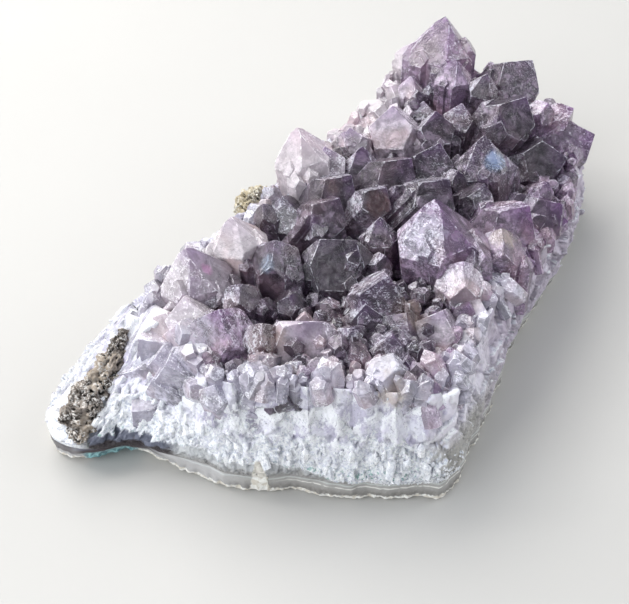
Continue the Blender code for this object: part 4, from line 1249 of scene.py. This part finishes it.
def crystal_material(name, body, tip, dust_and_sheen_colour, absorbed, density, clear, frost, shadow):
    """Cloudy, see-through quartz. Absorption tints it inside, the tips are deeper in colour, and a sugary
    frost lies over the faces, more of it on some than on others. Faces turned to the window take a painted
    pale sheen, the worn edges are painted pale as wear and as highlight, and some faces are painted darker as
    shade, at random by their direction."""
    look = Surface(name)
    level, worn, facet = (look.attribute(key) for key in ("level", "worn", "facet"))
    clouds = look.noise(3.2, 4, 0.65, distortion=0.8)
    grain = look.noise(0.4, 3, 0.7)
    scratches = look.noise(0.9, 4, 0.7, look.stretched(0.3, 0.5, 2.2), 1.5)
    clumps = look.noise(2.0, 5, 0.75, distortion=1.5)
    covered = look.times(look.between(facet, 0.2, 0.8, 0.12, 1.0),
                        look.between(look.facing((0.0, 0.0, 1.0)), -0.2, 0.6, 0.25, 1.0))
    dust_and_sheen = look.times(look.between(clumps, 0.46, 0.6), look.between(grain, 0.40, 0.62, 0.15, 1.0))
    dust_and_sheen = look.most(dust_and_sheen, look.between(scratches, 0.58, 0.66, 0.0, 0.8))
    dust_and_sheen = look.times(look.times(dust_and_sheen, covered), frost)
    # Painted sheen: faces turned to the window light are painted paler and frostier, on top of the dust.
    window_sheen = look.times(look.between(look.facing(WINDOW_SIDE), 0.35, 0.9, 0.0, 0.34),
                     look.between(facet, 0.2, 0.8, 0.2, 1.0))
    dust_and_sheen = look.plus(dust_and_sheen, look.times(window_sheen, look.between(clouds, 0.35, 0.6, 0.4, 1.0)))
    # The worn edges are painted pale: partly wear, partly a painted highlight along the edges.
    edge = look.times(worn, look.between(look.noise(1.3, 3), 0.44, 0.64, 0.0, 0.6))
    dust_and_sheen = look.most(dust_and_sheen, edge)
    dark, light = tuple(shadow * c for c in body), tuple(min(1.0, (1.9 - shadow) * c) for c in body)
    brown = (min(1.0, body[0] * 1.1), body[1] * 0.9, body[2] * 0.82)
    look.colour = look.mix(look.between(look.noise(1.6, 4, 0.7), 0.4, 0.62), dark, light)
    look.paint(look.between(look.noise(8.0, 2), 0.48, 0.66, 0.0, 0.7), brown)
    # Painted shade: some faces are darkened, at random by their direction.
    look.paint(look.between(facet, 0.0, 0.4, 0.6, 0.0), dark)
    look.paint(look.between(level, 0.0, 0.5, 0.6, 0.0), tuple(shadow * shadow * c for c in body))
    look.paint(look.between(look.attribute("tip"), 0.2, 0.95, 0.0, 0.75), tip)
    # Stains, with the painted glints, sky reflections and lit face.
    look.stains_and_glints()
    look.paint(dust_and_sheen, dust_and_sheen_colour)
    look.set(Base_Color=look.colour)
    see = look.times(clear, look.between(clouds, 0.4, 0.65, 1.0, 0.55))
    look.set(Transmission_Weight=look.times(see, look.between(dust_and_sheen, 0.0, 0.7, 1.0, 0.1)))
    look.set(Roughness=look.plus(look.between(dust_and_sheen, 0.0, 0.6, 0.06, 0.36),
                                 look.between(grain, 0.5, 0.8, 0, 0.1)))
    look.set(IOR=1.544, Specular_IOR_Level=0.85)
    broken = look.faceted(0.7, look.between(dust_and_sheen, 0.0, 0.8, 0.06, 0.9))
    facets = look.times(look.noise(0.9, 3, 0.6, distortion=1.0), look.between(level, 0.2, 0.9, 0.2, 1.0))
    wavy = look.bump(look.noise(2.6, 4, 0.65), 0.35, 0.7, look.bump(facets, 0.35, 0.7, broken))
    lined = look.bump(scratches, 0.15, 0.6, wavy)
    look.set(Normal=look.bump(grain, 0.05, 0.5, lined))
    volume = look.add("ShaderNodeVolumeAbsorption", {"Color": absorbed, "Density": density})
    look.tree.links.new(volume.outputs[0], look.output.inputs["Volume"])
    return look.material


def quartz_material():
    """Milky quartz: grey-lilac translucent blocks with frosted white tops, streaks and seams, white sugar at
    the foot, and agate in place of it at the front left. Painted shade darkens the grooves between the
    blocks, the right side, the faces turned up to the front-left light, and the left side."""
    look = Surface("milky quartz")
    share, grain = look.attribute("share"), look.attribute("grain")
    border, shade, crest = look.attribute("border"), look.attribute("shade"), look.attribute("crest")
    fine = look.noise(0.4, 3, 0.7)
    soft = look.noise(3.6, 4, 0.6)
    streaks = look.noise(1.1, 4, 0.65, look.stretched(1.0, 1.0, 0.28))
    look.colour = look.mix(look.between(shade, 0.1, 0.9), (0.46, 0.43, 0.57), (0.84, 0.82, 0.92))
    look.paint(look.between(soft, 0.58, 0.42, 0.0, 0.6), (0.90, 0.91, 0.95))
    look.paint(look.between(look.noise(4.5, 3, 0.6), 0.56, 0.66, 0.0, 0.7), (0.30, 0.29, 0.36))
    frosted = look.plus(look.times(crest, 1.2), look.times(fine, 0.9))
    look.paint(look.between(frosted, 0.45, 0.8, 0.0, 0.85), (0.97, 0.98, 1.0))
    look.paint(look.between(streaks, 0.52, 0.60, 0.0, 0.7), (0.96, 0.97, 0.99))
    look.paint(look.between(fine, 0.44, 0.34, 0.0, 0.6), (0.30, 0.30, 0.36))
    # Painted shade: darker along the borders, down in the grooves between the blocks.
    look.paint(look.between(border, 0.14, 0.03, 0.0, 0.45), (0.34, 0.33, 0.42))
    sugar = look.mix(look.between(look.noise(0.7, 3, 0.7), 0.38, 0.54),
                     (0.60, 0.63, 0.71), (0.97, 0.98, 1.0))
    patches = look.noise(3.4, 5, 0.7, look.stretched(1.0, 1.0, 0.5), 0.6)
    sugary = look.plus(patches, look.between(share, 0.15, 0.75, 0.12, -0.1))
    sugary = look.most(grain, look.between(sugary, 0.52, 0.57))
    sugary = look.most(sugary, look.between(share, 0.5, 0.3, 0.0, 0.7))
    look.paint(sugary, sugar)
    x = look.plus(look.coordinate("X"), look.times(look.noise(6.0, 2), 6.0))
    z = look.plus(look.coordinate("Z"), look.times(look.noise(3.0, 3), 2.5))
    at_front = look.times(look.between(look.coordinate("Y"), -30.0, -36.0),
                         look.between(x, -23.0, -20.0))
    green = look.times(look.between(look.noise(0.8, 2), 0.56, 0.64), look.between(share, 0.24, 0.05, 0, 0.9))
    look.paint(look.times(green, at_front), (0.20, 0.42, 0.36))
    # Painted shade on the right side: dark grey-brown at its foot, grey-lilac above, darker lilac further
    # back.
    shaded_right_side = look.times(look.between(look.facing((1.0, 0.0, 0.0)), 0.35, 0.7, 0.0, 0.85),
                           look.between(look.coordinate("Y"), -38.0, -33.0))
    right_foot_shade = look.mix(fine, (0.20, 0.19, 0.17), (0.52, 0.49, 0.44))
    right_side_shade = look.mix(look.between(share, 0.3, 0.6), right_foot_shade, (0.80, 0.76, 0.84))
    right_far_shade = look.mix(soft, (0.34, 0.28, 0.36), (0.60, 0.52, 0.62))
    look.paint(shaded_right_side, look.mix(look.between(look.coordinate("Y"), -24.0, -4.0), right_side_shade, right_far_shade))
    # Painted shade: a grey-lilac tint over the faces turned up to the front-left light.
    shade_on_lit_faces = look.between(look.facing((-0.45, -0.40, 0.80)), 0.70, 0.95, 0.0, 0.3)
    look.paint(look.times(shade_on_lit_faces, look.between(share, 0.2, 0.4)),
               look.mix(look.between(streaks, 0.45, 0.6), (0.60, 0.57, 0.68), (0.80, 0.79, 0.84)))
    # Painted shade on the left side.
    look.paint_shade_left(streaks)
    top = look.between(x, 32.0, 9.0, 5.8, 9.3)
    foot = look.times(look.between(look.less(z, top), 0.3, -0.3), at_front)
    banded = look.mix(look.between(z, 6.5, 8.5), (0.34, 0.33, 0.32), (0.56, 0.57, 0.58))
    dark = look.mix(look.between(z, 7.6, 8.3), (0.035, 0.025, 0.03), (0.13, 0.14, 0.19))
    banded = look.mix(look.between(x, -5.0, -9.0), banded, dark)
    # Stains, with the painted glints and sky reflections where they reach.
    look.stains_and_glints()
    look.paint(foot, banded)
    seam = look.times(look.seam(), look.between(look.coordinate("Y"), -35.0, -40.0))
    look.paint(seam, look.mix(fine, (0.62, 0.57, 0.50), (0.95, 0.92, 0.85)))
    look.set(Base_Color=look.colour)
    look.set(Subsurface_Weight=0.2, Subsurface_Radius=(1.0, 0.9, 1.05), Subsurface_Scale=0.6 * MM)
    look.set(Roughness=look.plus(look.between(fine, 0.4, 0.6, 0.1, 0.25), look.times(sugary, 0.2)))
    look.set(IOR=1.544)
    blocks = look.faceted(1.6, look.between(sugary, 0.0, 1.0, 0.6, 0.1), look.stretched(1.0, 1.0, 0.5))
    rough = look.bump(look.times(fine, sugary), 0.2, 1.0, look.bump(streaks, 0.3, 0.6, blocks))
    look.set(Normal=look.bump(look.cells(0.6), 0.2, look.between(sugary, 0.0, 1.0, 0.15, 0.7), rough))
    return look.material


def grain_material():
    """Sugary white quartz, with painted shade on the left side."""
    look = Surface("sugary quartz")
    look.colour = look.mix(look.between(look.noise(2.2, 3, 0.6), 0.38, 0.6),
                           (0.72, 0.74, 0.78), (0.97, 0.97, 0.98))
    look.paint(look.between(look.noise(0.4, 2), 0.5, 0.36, 0.0, 0.4), (0.42, 0.44, 0.50))
    look.paint(look.between(look.coordinate("Z"), 12.0, 16.0, 0.0, 0.3), (0.70, 0.67, 0.78))
    # Painted shade on the left side.
    look.paint_shade_left(look.noise(1.5, 3))
    look.set(Base_Color=look.colour)
    look.set(Subsurface_Weight=0.3, Subsurface_Radius=(1.0, 0.95, 1.0), Subsurface_Scale=0.6 * MM)
    look.set(Roughness=look.between(look.noise(0.4), 0.4, 0.7, 0.15, 0.5))
    look.set(IOR=1.544)
    look.set(Normal=look.bump(look.noise(0.3, 2), 0.06, 0.6))
    return look.material


def agate_material():
    """Grey agate in level bands, with one thin white line, and a cream rind at the bottom."""
    look = Surface("grey agate")
    band = look.attribute("band")
    x, y = look.coordinate("X"), look.coordinate("Y")
    wave = look.noise(12.0, 2, 0.5, look.stretched(1, 1, 0.2))
    fine = look.noise(0.7, 4, 0.65)
    level = look.plus(band, look.times(look.less(wave, 0.5), 0.35))
    look.colour = look.mix(look.between(level, 0.25, 0.75), (0.24, 0.225, 0.21), (0.40, 0.39, 0.37))
    look.paint(look.between(x, 8.0, -2.0, 0.0, 0.65), (0.62, 0.61, 0.62))
    look.paint(look.between(fine, 0.5, 0.7, 0.0, 0.3), (0.55, 0.53, 0.50))
    line = look.times(look.between(level, 0.70, 0.73), look.between(level, 0.80, 0.76))
    broken = look.times(look.between(look.noise(1.5, 3), 0.34, 0.48, 0.2, 0.95), look.between(x, 8.0, 15.0))
    look.paint(look.times(line, broken), (0.82, 0.80, 0.76))
    fine_line = look.times(look.between(level, 0.87, 0.89), look.between(level, 0.94, 0.91))
    look.paint(look.times(fine_line, 0.5), (0.70, 0.74, 0.72))
    dark_end = look.between(look.plus(x, look.times(wave, 8.0)), -6.0, -12.0)
    dark_end = look.times(dark_end, look.between(y, -40.0, -48.0))
    dark_end = look.times(dark_end, look.between(x, -28.0, -25.0))
    deep = look.mix(look.between(level, 0.6, 0.8), (0.045, 0.03, 0.035), (0.13, 0.14, 0.19))
    look.paint(look.times(dark_end, look.between(level, 0.42, 0.52)), deep)
    teal = look.times(dark_end, look.between(level, 0.55, 0.42))
    teal = look.times(teal, look.times(look.between(x, -16.0, -18.5), look.between(x, -26.0, -24.5)))
    look.paint(teal, look.mix(look.between(fine, 0.4, 0.6), (0.08, 0.19, 0.22), (0.30, 0.56, 0.58)))
    tip_end = look.times(look.between(x, -25.0, -28.0), look.between(level, 0.34, 0.46))
    tip_end = look.times(tip_end, look.between(y, -50.0, -58.0))
    look.paint(tip_end, look.mix(fine, (0.07, 0.06, 0.07), (0.20, 0.19, 0.20)))
    rind = look.between(look.plus(band, look.times(look.noise(2.0, 4, 0.7), 0.4)), 0.52, 0.45)
    cream = look.mix(look.between(look.noise(0.9, 3), 0.4, 0.6), (0.70, 0.65, 0.56), (0.96, 0.94, 0.88))
    rind = look.times(rind, look.less(1.0, teal))
    rind = look.most(rind, look.times(look.seam(), look.between(y, -35.0, -40.0)))
    look.paint(rind, cream)
    look.set(Base_Color=look.colour)
    look.set(Subsurface_Weight=0.25, Subsurface_Radius=(1.0, 1.0, 1.0), Subsurface_Scale=1.0 * MM)
    look.set(Roughness=look.between(rind, 0, 1, 0.25, 0.75))
    look.set(IOR=1.53)
    look.set(Normal=look.bump(look.times(look.noise(1.5, 4), rind), 0.5, 0.8, look.bump(fine, 0.15, 0.6)))
    return look.material


def rock_material(name, dark, middle, light, tan):
    """Weathered rock: pale and tan grains in a dark pitted ground."""
    look = Surface(name)
    ground = look.mix(look.between(look.noise(3.0, 5, 0.8), 0.44, 0.56), dark, middle)
    ground = look.mix(look.between(look.noise(6.0, 3, 0.6), 0.48, 0.58, 0.0, 0.8), ground, tan)
    grains = look.between(look.noise(0.5, 3, 0.7), 0.5, 0.58)
    here = look.between(look.noise(2.8, 3), 0.42, 0.56, 0.15, 1.0)
    look.colour = look.mix(look.times(grains, here), ground, light)
    # Painted shade: darker down in the pits, by their depth.
    look.paint(look.between(look.attribute("pit"), 0.05, 0.5), tuple(c * 0.3 for c in dark))
    look.set(Base_Color=look.colour, Roughness=0.85)
    look.set(Normal=look.bump(look.noise(0.6, 4, 0.7), 0.3, 0.9, look.faceted(0.7, 0.8)))
    return look.material


def plain_material(name, colour, roughness):
    look = Surface(name)
    soft = look.between(look.noise(60.0, 2), 0.3, 0.7, 0.0, 0.06)
    look.set(Base_Color=look.mix(soft, colour, tuple(0.8 * c for c in colour)), Roughness=roughness)
    return look.material


# Floor, light and camera.

# Each light: the way to it (back, left and up, as the camera sees it), distance, size, power and colour.
LIGHTS = (
    ("window", (0.8, 0.7, 1.1), 0.9, (1.0, 0.8), 11.0, (1.0, 0.98, 0.95)),
    ("front fill", (-0.6, 0.8, 0.7), 1.1, (1.2, 0.7), 9.0, (0.94, 0.97, 1.0)),
    ("glints", (0.3, 0.9, 1.0), 1.0, (0.16, 0.16), 1.0, (1.0, 1.0, 1.0)),
    ("right fill", (0.2, -1.0, 0.6), 1.0, (0.7, 0.7), 5.4, (0.95, 0.97, 1.0)),
)


def area_light(name, way, distance, size, power, colour):
    data = bpy.data.lights.new(name, "AREA")
    data.shape = "RECTANGLE"
    data.size, data.size_y = size
    data.energy = power
    data.color = colour
    made = bpy.data.objects.new(name, data)
    back, left, up = way
    direction = (Vector(BACK) * back - Vector(RIGHT) * left + Vector((0, 0, up))).normalized()
    made.location = direction * distance
    made.rotation_mode = "QUATERNION"
    made.rotation_quaternion = direction.to_track_quat("Z", "Y")
    bpy.context.scene.collection.objects.link(made)


def studio():
    floor_shape = bmesh.new()
    bmesh.ops.create_grid(floor_shape, x_segments=24, y_segments=24, size=1.2)
    mesh = bpy.data.meshes.new("floor")
    floor_shape.to_mesh(mesh)
    floor_shape.free()
    mesh.materials.append(plain_material("pale floor", (0.50, 0.49, 0.47), 0.6))
    floor = bpy.data.objects.new("floor", mesh)
    bpy.context.scene.collection.objects.link(floor)

    world = bpy.data.worlds.new("soft room")
    bpy.context.scene.world = world
    world.use_nodes = True
    light = world.node_tree.nodes["Background"].inputs
    light["Color"].default_value = (0.80, 0.86, 0.95, 1.0)
    light["Strength"].default_value = 0.40
    for light in LIGHTS:
        area_light(*light)


def camera():
    """The photograph's view: 35 degrees round from the front, 45 degrees down, from 250 mm away."""
    data = bpy.data.cameras.new("camera")
    data.sensor_width = 36.0
    data.lens = 0.5 * data.sensor_width / math.tan(HALF_VIEW)
    data.clip_start, data.clip_end = 0.01, 10
    made = bpy.data.objects.new("camera", data)
    made.location = (Vector(EYE) - CENTRE) * MM
    made.rotation_mode = "QUATERNION"
    made.rotation_quaternion = Vector(FORWARD).to_track_quat("-Z", "Y")
    bpy.context.scene.collection.objects.link(made)
    bpy.context.scene.camera = made


TONES = {
    "smoky": crystal_material("smoky amethyst", (0.31, 0.24, 0.32), (0.17, 0.085, 0.22), (0.64, 0.65, 0.72),
                              (0.50, 0.42, 0.54), 80.0, 0.8, 0.75, 0.4),
    "violet": crystal_material("violet amethyst", (0.58, 0.43, 0.60), (0.30, 0.12, 0.38), (0.76, 0.75, 0.83),
                               (0.62, 0.42, 0.70), 60.0, 0.75, 0.7, 0.5),
    "lilac": crystal_material("lilac amethyst", (0.76, 0.65, 0.76), (0.52, 0.36, 0.60), (0.87, 0.86, 0.91),
                              (0.78, 0.65, 0.82), 40.0, 0.6, 0.65, 0.6),
    "pale": crystal_material("pale amethyst", (0.86, 0.77, 0.82), (0.78, 0.64, 0.77), (0.93, 0.91, 0.94),
                             (0.92, 0.86, 0.92), 20.0, 0.45, 0.6, 0.75),
    "milky": crystal_material("frosted quartz", (0.66, 0.63, 0.75), (0.66, 0.61, 0.76), (0.90, 0.90, 0.94),
                              (0.92, 0.90, 0.95), 15.0, 0.45, 0.75, 0.55),
}


def main():
    coarse, fine = Slab(1), Slab(FINE)
    groups, tips = all_crystals(coarse)
    for tone, shapes in groups.items():
        mesh = united(f"crystals {tone}", shapes)
        mark_tips(mesh, tips)
        slot, node = ("milky_quartz", "quartz_bed") if tone == "milky" else ("amethyst", "amethyst_crystals")
        new_piece(f"crystals_{tone}", mesh, TONES[tone], slot, node)
    wall, grid = quartz_wall(fine)
    new_piece("quartz_wall", wall, quartz_material(), "milky_quartz", "quartz_bed", True)
    sugar = grain_material()
    places = wall_grains(grid, GRAIN_TRIES, SEEDS["crumbs' places"])
    new_piece("quartz_grains", gathered("grains", crumbs(places, SEEDS["crumbs"])), sugar,
              "milky_quartz", "quartz_bed")
    new_piece("quartz_teeth", gathered("teeth", teeth(grid, COMB_TRIES, SEEDS["teeth"])), sugar,
              "milky_quartz", "quartz_bed")
    new_piece("agate_band", agate_band(fine), agate_material(), "grey_agate", "agate_base", True)
    new_piece("end_rock", rock_patch("end rock", END_ROCK, SEED + SEEDS["end rock"]),
              rock_material("brown-grey rock", (0.07, 0.055, 0.045), (0.36, 0.31, 0.27), (0.78, 0.75, 0.72),
                            (0.42, 0.35, 0.28)),
              "brown_rock", "host_rock_end", True)
    new_piece("side_rock", rock_patch("side rock", SIDE_ROCK, SEED + SEEDS["side rock"]),
              rock_material("ochre rock", (0.30, 0.26, 0.19), (0.62, 0.56, 0.43), (0.88, 0.85, 0.76),
                            (0.50, 0.42, 0.28)),
              "ochre_rock", "host_rock_side", True)
    studio()
    camera()
    bpy.context.scene.view_settings.view_transform = "Standard"


main()
